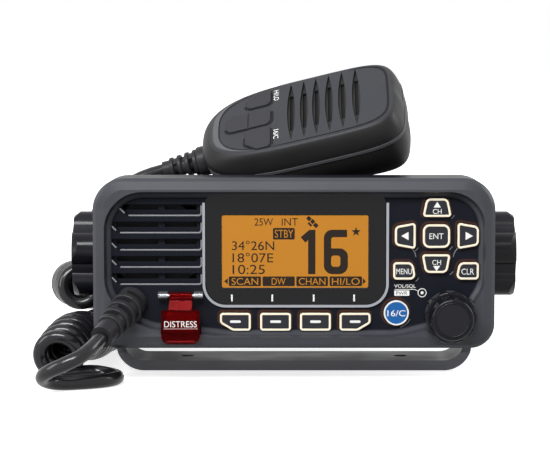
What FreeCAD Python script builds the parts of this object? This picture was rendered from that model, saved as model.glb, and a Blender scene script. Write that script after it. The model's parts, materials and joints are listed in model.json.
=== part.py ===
import FreeCAD, Part
import math
import os

V = FreeCAD.Vector

# Fixed-mount VHF marine radio with a hand microphone, in millimetres.
# It is drawn in the panel's frame: X to the right, Y from the front face to the back, Z up, with
# the origin at the centre of the panel's front face. export() moves it to the row's frame, whose
# origin is the centre of the bracket's screw pattern, on the underside of the bracket.

# Driving dimensions. A name in _W, _H, _D, _T or _R is a width, height, depth, thickness or radius;
# _X, _Y and _Z are places, and 0 and 1 are the near and far ends of a range.
PANEL_W, PANEL_H, PANEL_D = 156.5, 66.5, 25.0
PANEL_TOP_R, PANEL_BOTTOM_R = 12.5, 9.5
PANEL_WALL = 3.0
BEVEL_W, BEVEL_Y = 4.5, 2.0
BEVEL_BREAK_W, BEVEL_BREAK_Y = 1.3, 0.75
FASCIA_Y, FASCIA_T = 4.5, 3.0
FASCIA_BACK = FASCIA_Y + FASCIA_T
CHASSIS_W, CHASSIS_H, CHASSIS_Y1 = 128.0, 50.0, 110.0
CHASSIS_WALL = 2.4
TILT_Y, TILT_Z = 49.0, -1.0
BRACKET_W, BRACKET_T = 145.0, 3.2
BRACKET_Y0, BRACKET_Y1 = 35.0, 63.0
FLOOR_Z = -47.0
BASE_T = 4.1
SCREW_SPACING, SCREW_R = 88.0, 2.65
STUD_R = 3.0
KNOB_X, KNOB_Z = 60.8, -20.4
LENS = (-34.6, 35.9, -16.4, 27.1)
CORD_D, COIL_D = 5.5, 20.6
# Clearances: between bodies, round a key, of a running fit and of a pressed or bonded fit.
GAP, KEY_GAP = 0.3, 0.25
RUN, PRESS = 0.05, 0.02
# How far a cutter passes beyond the surface that it opens.
PAST = 1.0


# ---------------------------------------------------------------- helpers

def box(x0, x1, y0, y1, z0, z1):
    return Part.makeBox(x1 - x0, y1 - y0, z1 - z0, V(x0, y0, z0))


def rod(start, end, radius, end_radius=None):
    """Cylinder, or a cone where end_radius is given, from start to end."""
    start, end = V(*start), V(*end)
    along = end - start
    if end_radius is None:
        return Part.makeCylinder(radius, along.Length, start, along)
    return Part.makeCone(radius, end_radius, along.Length, start, along)


def tube(start, end, outer, inner):
    return rod(start, end, outer).cut(rod(start, end, inner))


def join(shapes):
    """One fused solid."""
    result = shapes[0]
    for shape in shapes[1:]:
        result = result.fuse(shape)
    return result.removeSplitter()


def remove(shape, cutters):
    for cutter in cutters:
        shape = shape.cut(cutter)
    return shape


def outline(corners, y):
    """Closed wire at depth y through (x, z, r) corners, each rounded by its radius."""
    cuts = []
    for i, (x, z, r) in enumerate(corners):
        here = V(x, y, z)
        before, after = corners[i - 1], corners[(i + 1) % len(corners)]
        back = (V(before[0], y, before[1]) - here).normalize()
        ahead = (V(after[0], y, after[1]) - here).normalize()
        half = back.getAngle(ahead) / 2
        inward = (back + ahead).normalize()
        reach = r / math.tan(half)
        middle = here + inward * (r / math.sin(half) - r)
        cuts.append((here + back * reach, middle, here + ahead * reach))
    edges = []
    for i, (start, middle, end) in enumerate(cuts):
        edges.append(Part.Arc(start, middle, end).toShape())
        following = cuts[(i + 1) % len(cuts)][0]
        if end.distanceToPoint(following) > 1e-4:
            edges.append(Part.LineSegment(end, following).toShape())
    return Part.Wire(edges)


def slab(corners, y0, y1):
    """Rounded outline carried from depth y0 to y1."""
    return Part.Face(outline(corners, y0)).extrude(V(0, y1 - y0, 0))


def tapered(sections):
    """Solid through (corners, y) sections that have the same corners in the same order."""
    return Part.makeLoft([outline(corners, y) for corners, y in sections], True, True)


def rectangle(x0, x1, z0, z1, r):
    return [(x0, z0, r), (x1, z0, r), (x1, z1, r), (x0, z1, r)]


def grown(corners, by):
    """The outline moved outwards by a distance, or inwards where it is negative."""
    result = []
    for i, (x, z, r) in enumerate(corners):
        before, after = corners[i - 1], corners[(i + 1) % len(corners)]
        normals = []
        for (ax, az, _), (bx, bz, _) in ((before, corners[i]), (corners[i], after)):
            length = math.hypot(bx - ax, bz - az)
            normals.append(((bz - az) / length, -(bx - ax) / length))
        (n1x, n1z), (n2x, n2z) = normals
        scale = by / (1 + n1x * n2x + n1z * n2z)
        result.append((x + (n1x + n2x) * scale, z + (n1z + n2z) * scale, max(r + by, 0.2)))
    return result


def placed(shape, origin, direction):
    """A shape drawn along +Z from the origin, aimed along direction."""
    result = shape.copy()
    result.Placement = FreeCAD.Placement(V(*origin), FreeCAD.Rotation(V(0, 0, 1), V(*direction)))
    return result


NODES = {}


def export(name, *solids):
    """Writes one or more solids as the node of that name, in the row's frame."""
    shape = solids[0] if len(solids) == 1 else Part.makeCompound(list(solids))
    shape = shape.copy()
    shape.translate(V(0, -TILT_Y, -FLOOR_Z))
    for solid in shape.Solids:
        if not solid.isValid() or solid.Volume <= 0:
            print("BAD SOLID", name)
    NODES[name] = shape
    shape.exportStep("parts/%s.step" % name)


# ---------------------------------------------------------------- front panel

PANEL = [
    (-PANEL_W / 2, -PANEL_H / 2, PANEL_BOTTOM_R), (PANEL_W / 2, -PANEL_H / 2, PANEL_BOTTOM_R),
    (PANEL_W / 2, PANEL_H / 2, PANEL_TOP_R), (-PANEL_W / 2, PANEL_H / 2, PANEL_TOP_R),
]
# The dished recess: nearly square corners at the top, long sweeping ones at the bottom.
RECESS = [
    (-73.8, -12.0, 16.0), (-61.0, -25.4, 26.0), (-24.0, -28.9, 60.0), (40.0, -28.9, 40.0),
    (66.0, -22.6, 24.0), (74.4, -9.0, 14.0), (74.4, 27.9, 14.0), (-73.8, 27.9, 15.0),
]
LENS_SHAPE = [
    (LENS[0], LENS[2], 8.0), (LENS[1], LENS[2], 8.0),
    (LENS[1], LENS[3], 3.5), (LENS[0], LENS[3], 3.5),
]
LOUVRE_PITCH, LOUVRE_TOP_Z, LOUVRE_COUNT = 6.74, 22.9, 5
LOUVRE_H = 3.9
LOUVRE_LIP, LOUVRE_LIP_DEPTH = 0.9, 0.9
LOUVRE_DEPTH, LOUVRE_DRAFT = 1.6, -0.3
LOUVRE_X0, LOUVRE_X1 = -71.8, -36.7
# The top louvre starts further in, under the corner of the recess.
LOUVRE_TOP_INSET = 3.4
LOUVRE_RAMP = 3.6
SLOT_H, SLOT_DROP = 2.0, 0.3
SLOT_SPLIT_X0, SLOT_SPLIT_X1, SLOT_END_X = -53.0, -50.5, -38.0
SLOT_LEFT, SLOT_LEFT_TOP = 2.4, 5.0
PLINTH_R, PLINTH_Y = 9.6, 0.2
DISTRESS_POCKET = rectangle(-52.0, -36.2, -28.8, -17.6, 2.0)
WINDOW_OPENING = rectangle(-30.0, 30.8, -11.6, 20.4, 1.0)
LENS_SEAT = 1.5
BUSHING_R = 3.7
PANEL_SCREWS = [(x, z) for x in (-70.5, 70.5) for z in (-22.5, 22.5)]
BOSS_R, BOSS_CLEAR_R = 3.2, 3.6
PANEL_SCREW_R, SCREW_BITE = 1.5, 8.0
BOOT_BASE = (-63.0, FASCIA_Y, -15.0)
BOOT_DIR = (-10.0, -25.5, -11.0)
BOOT_SEAT_R, BOOT_SEAT_LENGTH = 6.7, 14.0
BOOT_HOLE_R = 4.0


def louvre_corners(row, lip):
    """Outline of one louvre, whose lower edge and ends widen by the lip at the surface."""
    top = LOUVRE_TOP_Z - row * LOUVRE_PITCH
    left = LOUVRE_X0 + (LOUVRE_TOP_INSET if row == 0 else 0.0)
    bottom = top - LOUVRE_H
    return [
        (left - lip, top, 0.5), (left + LOUVRE_RAMP - lip * 0.4, bottom - lip, 0.9),
        (LOUVRE_X1 + lip * 0.6, bottom - lip, 1.2), (LOUVRE_X1 + lip * 0.6, top, 0.4),
    ]


def louvre(row):
    """The trough of one louvre and the two slots that open at its top edge."""
    top = LOUVRE_TOP_Z - row * LOUVRE_PITCH - SLOT_DROP
    left = LOUVRE_X0 + (SLOT_LEFT_TOP if row == 0 else SLOT_LEFT)
    trough = tapered([
        (louvre_corners(row, LOUVRE_LIP), FASCIA_Y - 0.01),
        (louvre_corners(row, 0.0), FASCIA_Y + LOUVRE_LIP_DEPTH),
        (louvre_corners(row, LOUVRE_DRAFT), FASCIA_Y + LOUVRE_DEPTH),
    ])
    slots = [
        box(x0, x1, FASCIA_Y, FASCIA_BACK + PAST, top - SLOT_H, top)
        for x0, x1 in ((left, SLOT_SPLIT_X0), (SLOT_SPLIT_X1, SLOT_END_X))
    ]
    return [trough] + slots


SOFT_KEY_X = (-22.9, -7.2, 8.4, 23.9)
SOFT_KEY_Z, SOFT_KEY_W, SOFT_KEY_H = -23.1, 12.1, 7.0
SOFT_KEY_R = 1.2
# How far the outer soft keys' cut-back corner reaches up and along.
CUT_UP, CUT_ALONG = 3.0, 5.0


def soft_key_corners(index):
    """Soft keys are rounded rectangles; the outer two have one lower corner cut back."""
    x = SOFT_KEY_X[index]
    left, right = x - SOFT_KEY_W / 2, x + SOFT_KEY_W / 2
    low, high = SOFT_KEY_Z - SOFT_KEY_H / 2, SOFT_KEY_Z + SOFT_KEY_H / 2
    top = [(right, high, SOFT_KEY_R), (left, high, SOFT_KEY_R)]
    low_left, low_right = [(left, low, SOFT_KEY_R)], [(right, low, SOFT_KEY_R)]
    if index == 0:
        low_left = [(left, low + CUT_UP, 1.6), (left + CUT_ALONG, low, 2.6)]
    if index == len(SOFT_KEY_X) - 1:
        low_right = [(right - CUT_ALONG, low, 2.6), (right, low + CUT_UP, 1.6)]
    return low_left + low_right + top


KEYS = {
    "key_up": [(50.0, 18.0, 1.2), (61.4, 18.0, 1.2), (59.9, 25.2, 2.2), (51.5, 25.2, 2.2)],
    "key_down": [(51.2, -3.9, 2.2), (59.7, -3.9, 2.2), (61.1, 3.4, 1.2), (49.8, 3.4, 1.2)],
    "key_left": [(39.3, 6.9, 2.0), (47.4, 5.4, 1.2), (47.4, 15.8, 1.2), (39.3, 14.3, 2.0)],
    "key_right": [(63.7, 5.4, 1.2), (72.0, 6.9, 2.0), (72.0, 14.3, 2.0), (63.7, 15.8, 1.2)],
    "key_enter": rectangle(50.2, 60.8, 5.9, 15.1, 2.6),
    "key_menu": [(38.7, -6.5, 1.4), (47.7, -6.5, 2.0), (46.4, 0.3, 2.4), (38.7, 0.3, 1.4)],
    "key_clear": [(63.0, -6.5, 2.0), (72.1, -6.5, 1.4), (72.1, 0.3, 1.4), (64.4, 0.3, 2.4)],
}
for number in range(len(SOFT_KEY_X)):
    KEYS["key_soft_%d" % (number + 1)] = soft_key_corners(number)
ROUND_KEY = (40.0, -19.6, 4.9)
DISTRESS_KEY = rectangle(-50.0, -38.2, -26.8, -19.6, 1.4)
KEY_FRONT_Y, DISTRESS_KEY_FRONT_Y = 3.0, 1.6
KEY_FLANGE, KEY_CROWN = 0.7, 0.35
FLANGE_Y0, FLANGE_Y1 = FASCIA_BACK + GAP, FASCIA_BACK + GAP + 0.9


def key(corners, front):
    """A key cap with a softened rim, and the flange that keeps it behind the fascia."""
    cap = tapered([(grown(corners, -KEY_CROWN), front), (corners, front + KEY_CROWN),
                   (corners, FLANGE_Y0)])
    return join([cap, slab(grown(corners, KEY_FLANGE), FLANGE_Y0, FLANGE_Y1)])


def along_y(x, z, y0, y1, radius):
    return rod((x, y0, z), (x, y1, z), radius)


def knob_bore(y0, y1, radius):
    """A hole through the panel, the mat or the board for the volume knob's encoder."""
    return along_y(KNOB_X, KNOB_Z, y0 - PAST, y1 + PAST, radius)


def front_panel():
    """Frame with the dished recess, the fascia at its floor and the screw bosses behind it."""
    body = join([
        tapered([(grown(PANEL, -BEVEL_W), 0.0), (grown(PANEL, -BEVEL_BREAK_W), BEVEL_BREAK_Y),
                 (PANEL, BEVEL_Y)]),
        slab(PANEL, BEVEL_Y, PANEL_D),
    ])
    hollow = slab(grown(PANEL, -PANEL_WALL), FASCIA_BACK, PANEL_D + PAST)
    recess = tapered([(RECESS, -0.01), (grown(RECESS, -0.9), 2.4),
                      (grown(RECESS, -2.9), FASCIA_Y)])
    body = remove(body, [hollow, recess])
    body = join([body, along_y(KNOB_X, KNOB_Z, PLINTH_Y, FASCIA_BACK, PLINTH_R)])
    x, z, r = ROUND_KEY
    cutters = [
        slab(DISTRESS_POCKET, -PAST, FASCIA_Y),
        slab(LENS_SHAPE, FASCIA_Y - PAST, FASCIA_Y + LENS_SEAT),
        slab(WINDOW_OPENING, FASCIA_Y, FASCIA_BACK + PAST),
        knob_bore(0, FASCIA_BACK, BUSHING_R + 0.1),
        along_y(x, z, 0, FASCIA_BACK + PAST, r + KEY_GAP),
        slab(grown(DISTRESS_KEY, KEY_GAP), FASCIA_Y - PAST, FASCIA_BACK + PAST),
        boot_seat(),
    ]
    cutters += [slab(grown(corners, KEY_GAP), FASCIA_Y - PAST, FASCIA_BACK + PAST)
                for corners in KEYS.values()]
    cutters += [cutter for row in range(LOUVRE_COUNT) for cutter in louvre(row)]
    bosses = [along_y(x, z, FASCIA_BACK - 0.5, PANEL_D, BOSS_R) for x, z in PANEL_SCREWS]
    threads = [along_y(x, z, PANEL_D - SCREW_BITE, PANEL_D + PAST, PANEL_SCREW_R + PRESS)
               for x, z in PANEL_SCREWS]
    return remove(join([remove(body, cutters)] + bosses), threads)


def boot_seat():
    """Room for the cord's boot through the rim of the recess, and the hole of its stem."""
    base = V(*BOOT_BASE)
    tip = base + V(*BOOT_DIR).normalize() * BOOT_SEAT_LENGTH
    clear = rod(tuple(base), tuple(tip), BOOT_SEAT_R)
    front_only = box(-PANEL_W, 0, -PANEL_W, FASCIA_Y, -PANEL_H, PANEL_H)
    stem = along_y(base.x, base.z, FASCIA_Y - PAST, FASCIA_BACK + PAST, BOOT_HOLE_R)
    return join([clear.common(front_only), stem])


TRIM_W, TRIM_PROUD = 1.0, 0.9
TRIM_TOP_Z = LENS[3] - 3.6
LENS_GAP, LENS_PROUD = 0.1, 0.2


def window_trim():
    """Raised bead round the window's sides and bottom, seated on the fascia."""
    ring = slab(grown(LENS_SHAPE, TRIM_W + LENS_GAP), FASCIA_Y - TRIM_PROUD, FASCIA_Y)
    ring = ring.cut(slab(grown(LENS_SHAPE, LENS_GAP), FASCIA_Y - PAST, FASCIA_Y + PAST))
    return ring.cut(box(-PANEL_W, PANEL_W, 0, FASCIA_BACK, TRIM_TOP_Z, PANEL_H))


def window_lens():
    return slab(grown(LENS_SHAPE, -LENS_GAP), FASCIA_Y - LENS_PROUD, FASCIA_Y + LENS_SEAT)


LCD = (-28.2, 29.0, -9.8, 18.6)
GLASS_Y, LCD_FRAME_Y, BACKLIGHT_Y0, BACKLIGHT_Y1 = 6.2, 8.2, 9.6, 11.4
MAT_Y0, MAT_Y1 = 9.9, 11.5
BOARD_Y0, BOARD_Y1 = 11.6, 13.2


def round_lcd(beside, above, y0, y1):
    """A plate that reaches past the display's picture by a margin on each side."""
    return box(LCD[0] - beside, LCD[1] + beside, y0, y1, LCD[2] - above, LCD[3] + above)


def lcd_module():
    """Display glass with the frame that clips it to the board."""
    return join([round_lcd(1.2, 1.2, GLASS_Y, LCD_FRAME_Y),
                 round_lcd(3.0, 2.4, LCD_FRAME_Y, BACKLIGHT_Y0)])


def lcd_backlight():
    return round_lcd(2.0, 1.6, BACKLIGHT_Y0, BACKLIGHT_Y1)


def boss_room(y0, y1):
    """Cutters that leave the panel's screw bosses free."""
    return [along_y(x, z, y0 - PAST, y1 + PAST, BOSS_CLEAR_R) for x, z in PANEL_SCREWS]


def keypad_mat():
    """Silicone mat: a strip under the soft keys and a block under the keypad."""
    strip = box(-32.0, 38.0, MAT_Y0, MAT_Y1, -27.2, -18.0)
    block = box(38.0, 73.4, MAT_Y0, MAT_Y1, -25.0, 25.4)
    bore = knob_bore(MAT_Y0, MAT_Y1, BUSHING_R + 0.4)
    return remove(join([strip, block]), [bore] + boss_room(MAT_Y0, MAT_Y1))


def front_board():
    board = box(-32.5, 73.4, BOARD_Y0, BOARD_Y1, -27.0, 25.4)
    bore = knob_bore(BOARD_Y0, BOARD_Y1, BUSHING_R + 0.2)
    return remove(board, [bore] + boss_room(BOARD_Y0, BOARD_Y1))


SPEAKER_X, SPEAKER_Z, SPEAKER_R = -54.3, 7.0, 17.5
MESH_T = 0.4
SPEAKER_RIM_T, SPEAKER_D, MAGNET_T, MAGNET_R = 2.0, 14.0, 6.0, 12.5
DISH_R, DISH_FLOOR_R, DISH_D = 15.5, 8.0, 4.0


def on_speaker_axis(y):
    return (SPEAKER_X, y, SPEAKER_Z)


def speaker_mesh():
    return rod(on_speaker_axis(FASCIA_BACK), on_speaker_axis(FASCIA_BACK + MESH_T), SPEAKER_R + 0.7)


def speaker_driver():
    """Loudspeaker: front rim, tapered basket, magnet and the cone's dish."""
    front = FASCIA_BACK + MESH_T
    rim_back, back = front + SPEAKER_RIM_T, front + SPEAKER_D
    rim = rod(on_speaker_axis(front), on_speaker_axis(rim_back), SPEAKER_R)
    basket = rod(on_speaker_axis(rim_back), on_speaker_axis(back - MAGNET_T), SPEAKER_R - 1.5, MAGNET_R)
    magnet = rod(on_speaker_axis(back - MAGNET_T), on_speaker_axis(back), MAGNET_R)
    dish = rod(on_speaker_axis(front - 0.01), on_speaker_axis(front + DISH_D), DISH_R, DISH_FLOOR_R)
    return join([rim, basket, magnet]).cut(dish)


# ---------------------------------------------------------------- chassis and electronics

CHASSIS = rectangle(-CHASSIS_W / 2, CHASSIS_W / 2, -CHASSIS_H / 2, CHASSIS_H / 2, 4.0)
GASKET_T = 0.8
GASKET_OPENING = rectangle(-60.5, 60.5, -21.5, 21.5, 2.0)
RIM_Y = PANEL_D + GASKET_T
FLANGE_BACK = RIM_Y + 2.4
FIN_PITCH, FIN_SLOT, FIN_DEPTH, FIN_Y0 = 6.0, 3.4, 2.2, 62.0
FIN_EDGE = 10.0
INSERT_R, INSERT_FLANGE_R = 5.0, 7.0
INSERT_X0, INSERT_X1, INSERT_HOLE_X = 52.0, 58.7, 53.5
ANTENNA = (-38.0, 8.0)
ANTENNA_R, ANTENNA_BARREL_R, ANTENNA_D = 7.9, 5.9, 14.0
SOCKET_R, CONTACT_R, SOCKET_FLOOR = 5.0, 2.0, 4.0
SOCKET_FLANGE, SOCKET_FLANGE_T = 9.0, 2.5
# x, z and hole radius of the power, data and speaker outlets.
GLANDS = ((36.0, -10.0, 5.0), (8.0, -12.0, 3.6), (-14.0, -12.0, 3.6))
GLAND_D, GLAND_FLOOR = 6.0, 2.0
PLUG_Y0 = 98.0
SCREW_HOLE_R, SCREW_HEAD_R, SCREW_HEAD_T, SCREW_TIP = 1.8, 2.9, 2.0, 6.0
CROSS_HALF, CROSS_HALF_W, CROSS_FLOOR = 1.8, 0.35, 1.1
BOARD_TOP = -12.4


def along_x(x0, x1, radius):
    """A rod on the axis that the radio tilts about."""
    return rod((x0, TILT_Y, TILT_Z), (x1, TILT_Y, TILT_Z), radius)


def panel_gasket():
    ring = slab(grown(PANEL, -PANEL_WALL - 0.2), PANEL_D, RIM_Y)
    ring = ring.cut(slab(GASKET_OPENING, PANEL_D - PAST, RIM_Y + PAST))
    return remove(ring, [along_y(x, z, PANEL_D - PAST, RIM_Y + PAST, SCREW_HOLE_R)
                         for x, z in PANEL_SCREWS])


def rear_chassis():
    """Die-cast body: a box open to the front, with fins on top and underneath."""
    body = join([
        slab(grown(PANEL, -PANEL_WALL - 0.2), RIM_Y, FLANGE_BACK),
        slab(CHASSIS, FLANGE_BACK, CHASSIS_Y1),
    ])
    inside = grown(CHASSIS, -CHASSIS_WALL - FIN_DEPTH)
    wall = CHASSIS_Y1 - 2 * CHASSIS_WALL
    cutters = [slab(inside, PANEL_D, wall)]
    half_count = int((CHASSIS_W / 2 - FIN_EDGE) / FIN_PITCH)
    edge = CHASSIS_H / 2
    for i in range(-half_count, half_count + 1):
        x0, x1 = i * FIN_PITCH - FIN_SLOT / 2, i * FIN_PITCH + FIN_SLOT / 2
        cutters.append(box(x0, x1, FIN_Y0, CHASSIS_Y1 + PAST, edge - FIN_DEPTH, edge + PAST))
        cutters.append(box(x0, x1, FIN_Y0, CHASSIS_Y1 + PAST, -edge - PAST, -edge + FIN_DEPTH))
    for side in (-1, 1):
        cutters.append(along_x(side * INSERT_X0, side * (CHASSIS_W / 2 + PAST), INSERT_R))
    for x, z in PANEL_SCREWS:
        cutters.append(along_y(x, z, PANEL_D, FLANGE_BACK + PAST, SCREW_HOLE_R))
    for x, z, r in GLANDS + ((*ANTENNA, ANTENNA_BARREL_R + 0.1),):
        cutters.append(along_y(x, z, wall - PAST, CHASSIS_Y1 + PAST, r))
    return remove(body, cutters)


def panel_screws():
    """Cross-head screws from the chassis rim into the panel's bosses."""
    solids = []
    for x, z in PANEL_SCREWS:
        head = along_y(x, z, FLANGE_BACK, FLANGE_BACK + SCREW_HEAD_T, SCREW_HEAD_R)
        shank = along_y(x, z, PANEL_D - SCREW_TIP, FLANGE_BACK, PANEL_SCREW_R)
        low, high = FLANGE_BACK + CROSS_FLOOR, FLANGE_BACK + SCREW_HEAD_T + PAST
        cross = join([
            box(x - a, x + a, low, high, z - b, z + b)
            for a, b in ((CROSS_HALF, CROSS_HALF_W), (CROSS_HALF_W, CROSS_HALF))
        ])
        solids.append(join([head, shank]).cut(cross))
    return solids


def side_inserts():
    """Brass inserts in the chassis walls, tapped for the clamp knobs' studs."""
    solids = []
    for side in (-1, 1):
        blank = along_x(side * INSERT_X0, side * CHASSIS_W / 2, INSERT_R)
        flange = along_x(side * INSERT_X0, side * INSERT_X1, INSERT_FLANGE_R)
        hole = along_x(side * INSERT_HOLE_X, side * (CHASSIS_W / 2 + PAST), STUD_R + RUN)
        solids.append(join([blank, flange]).cut(hole))
    return solids


def main_board():
    return box(-56.0, 56.0, 34.0, PLUG_Y0, BOARD_TOP - 1.6, BOARD_TOP)


def shield_can():
    return box(-48.0, 4.0, 44.0, 90.0, BOARD_TOP, -4.0)


def power_module():
    """RF power module: its block and the flange that it is screwed down by."""
    block = box(14.0, 50.0, 60.0, 84.0, BOARD_TOP, -7.0)
    flange = box(10.0, 54.0, 66.0, 78.0, BOARD_TOP, -10.4)
    return join([block, flange])


def antenna_socket():
    """Coaxial socket: square flange, threaded barrel and centre contact."""
    x, z = ANTENNA
    reach = SOCKET_FLANGE
    flange = box(x - reach, x + reach, CHASSIS_Y1, CHASSIS_Y1 + SOCKET_FLANGE_T, z - reach, z + reach)
    barrel = along_y(x, z, PLUG_Y0, CHASSIS_Y1 + ANTENNA_D, ANTENNA_BARREL_R)
    thread = along_y(x, z, CHASSIS_Y1 + SOCKET_FLANGE_T, CHASSIS_Y1 + ANTENNA_D, ANTENNA_R)
    socket = tube((x, CHASSIS_Y1 + SOCKET_FLOOR, z), (x, CHASSIS_Y1 + ANTENNA_D + PAST, z),
                  SOCKET_R, CONTACT_R)
    return join([flange, barrel, thread]).cut(socket)


def gland(x, z, r):
    """Cable outlet: a collar on the back wall and the plugged stem through it."""
    collar = rod((x, CHASSIS_Y1, z), (x, CHASSIS_Y1 + GLAND_D, z), r + 3.0, r + 1.6)
    stem = along_y(x, z, PLUG_Y0, CHASSIS_Y1, r - RUN)
    mouth = along_y(x, z, CHASSIS_Y1 + GLAND_FLOOR, CHASSIS_Y1 + GLAND_D + PAST, r - 0.8)
    return join([collar, stem]).cut(mouth)


# ---------------------------------------------------------------- keys, knob and distress cover

def flat_edges(shape, y):
    """The edges of a shape that lie wholly at depth y."""
    return [edge for edge in shape.Edges
            if abs(edge.BoundBox.YMin - y) < 0.01 and abs(edge.BoundBox.YMax - y) < 0.01]


def round_key():
    x, z, r = ROUND_KEY
    cap = along_y(x, z, KEY_FRONT_Y, FLANGE_Y0, r)
    cap = cap.makeFillet(0.5, flat_edges(cap, KEY_FRONT_Y))
    return join([cap, along_y(x, z, FLANGE_Y0, FLANGE_Y1, r + KEY_FLANGE)])


SHAFT_R = 3.0
KNOB_BACK, KNOB_FRONT = -1.3, -14.2
KNOB_SKIRT_R, KNOB_BODY_R, KNOB_TIP_R, KNOB_CAP_R = 10.5, 8.9, 8.0, 6.9
SKIRT_FRONT, SKIRT_DRAFT = -6.2, 0.4
SCALLOPS, SCALLOP_R, SCALLOP_DEPTH = 10, 3.4, 1.2
CAP_SEAT, CAP_PROUD = 1.0, 0.2
SHAFT_TIP_Y, SHAFT_END_Y = KNOB_FRONT + 4.0, 18.5
HOUSING_HALF, HOUSING_BACK = 6.5, 23.0
SLIDE_R, SLIDE_Y0, SLIDE_Y1 = 5.0, 14.5, 22.0
CARRIER_Y0, CARRIER_Y1 = 15.2, 19.6
BUSHING_Y0 = 6.8


def on_knob_axis(y):
    return (KNOB_X, y, KNOB_Z)


def encoder_body():
    """Rotary encoder: housing behind the board and a bushing through it."""
    housing = box(KNOB_X - HOUSING_HALF, KNOB_X + HOUSING_HALF, BOARD_Y1, HOUSING_BACK,
                  KNOB_Z - HOUSING_HALF, KNOB_Z + HOUSING_HALF)
    bushing = rod(on_knob_axis(BUSHING_Y0), on_knob_axis(BOARD_Y1), BUSHING_R)
    cavity = rod(on_knob_axis(SLIDE_Y0), on_knob_axis(SLIDE_Y1), SLIDE_R)
    bore = rod(on_knob_axis(BUSHING_Y0 - PAST), on_knob_axis(SLIDE_Y0 + PAST), SHAFT_R + RUN)
    return remove(join([housing, bushing]), [cavity, bore])


def encoder_slider():
    """Carrier inside the encoder that slides back when the knob is pushed."""
    cup = rod(on_knob_axis(CARRIER_Y0), on_knob_axis(CARRIER_Y1), SLIDE_R - RUN)
    return cup.cut(rod(on_knob_axis(CARRIER_Y0 - PAST), on_knob_axis(SHAFT_END_Y + 2 * RUN),
                       SHAFT_R + RUN))


def encoder_shaft():
    return rod(on_knob_axis(SHAFT_TIP_Y), on_knob_axis(SHAFT_END_Y), SHAFT_R)


def volume_knob():
    """Knob with a scalloped skirt, a slightly tapered body and a shallow cap seat."""
    skirt = rod(on_knob_axis(KNOB_BACK), on_knob_axis(SKIRT_FRONT), KNOB_SKIRT_R,
                KNOB_SKIRT_R - SKIRT_DRAFT)
    skirt = skirt.makeFillet(0.8, flat_edges(skirt, SKIRT_FRONT))
    reach = KNOB_SKIRT_R + SCALLOP_R - SCALLOP_DEPTH
    scallops = []
    for i in range(SCALLOPS):
        angle = 2 * math.pi * (i + 0.5) / SCALLOPS
        x, z = KNOB_X + reach * math.cos(angle), KNOB_Z + reach * math.sin(angle)
        scallops.append(along_y(x, z, SKIRT_FRONT - PAST, 0, SCALLOP_R))
    body = rod(on_knob_axis(SKIRT_FRONT), on_knob_axis(KNOB_FRONT), KNOB_BODY_R, KNOB_TIP_R)
    body = body.makeFillet(1.0, flat_edges(body, KNOB_FRONT))
    seat = rod(on_knob_axis(KNOB_FRONT - PAST), on_knob_axis(KNOB_FRONT + CAP_SEAT), KNOB_CAP_R)
    bore = rod(on_knob_axis(SHAFT_TIP_Y), on_knob_axis(0), SHAFT_R + PRESS)
    return remove(join([remove(skirt, scallops), body]), [seat, bore])


def knob_cap():
    return rod(on_knob_axis(KNOB_FRONT + CAP_PROUD), on_knob_axis(KNOB_FRONT + CAP_SEAT),
               KNOB_CAP_R - 0.1)


def distress_key():
    return key(DISTRESS_KEY, DISTRESS_KEY_FRONT_Y)


HINGE_Y, HINGE_Z, HINGE_PIN_R = 2.0, -12.6, 0.55
LUGS = ((-52.9, -49.2), (-39.0, -35.5))
LUG_R, PIN_INSET = 1.5, 0.6
BARREL_X0, BARREL_X1, BARREL_R = -48.6, -39.6, 1.35
COVER_T = 1.1
# The cover seen from the front: a wide body that narrows to the arm at the hinge.
COVER_FRONT = [
    (-51.6, -31.3, 3.2), (-36.6, -31.3, 3.2), (-36.6, -18.0, 1.0), (-39.6, -18.0, 0.6),
    (-39.6, -11.0, 0.4), (-48.5, -11.0, 0.4), (-48.5, -18.0, 0.6), (-51.6, -18.0, 1.0),
]
# The outside of the cover's skin in side view, as (y, z), and the lip under the bezel.
COVER_SIDE = [(0.5, -14.4), (-1.4, -18.0), (-2.9, -24.0), (-2.9, -29.6)]
COVER_LIP = [(-1.9, -31.3), (-0.5, -31.3), (-0.5, -30.2)]
COVER_ARM = (-48.5, -39.6, 0.55, HINGE_Y, -14.6, HINGE_Z)
RIB_X0, RIB_X1, RIB_Y0, RIB_Y1, RIB_H = -50.4, -37.8, -3.2, -2.8, 0.45
RIB_Z = (-25.6, -26.9)


def on_hinge(x0, x1, radius):
    return rod((x0, HINGE_Y, HINGE_Z), (x1, HINGE_Y, HINGE_Z), radius)


def cover_lugs():
    """Two clear lugs on the fascia that carry the cover's hinge pin."""
    solids = []
    for x0, x1 in LUGS:
        foot = box(x0, x1, HINGE_Y, FASCIA_Y, HINGE_Z - LUG_R, HINGE_Z + LUG_R)
        pin_hole = on_hinge(x0 - PAST, x1 + PAST, HINGE_PIN_R + PRESS)
        solids.append(join([on_hinge(x0, x1, LUG_R), foot]).cut(pin_hole))
    return solids


def distress_pin():
    return on_hinge(LUGS[0][0] + PIN_INSET, LUGS[1][1] - PIN_INSET, HINGE_PIN_R)


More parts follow.
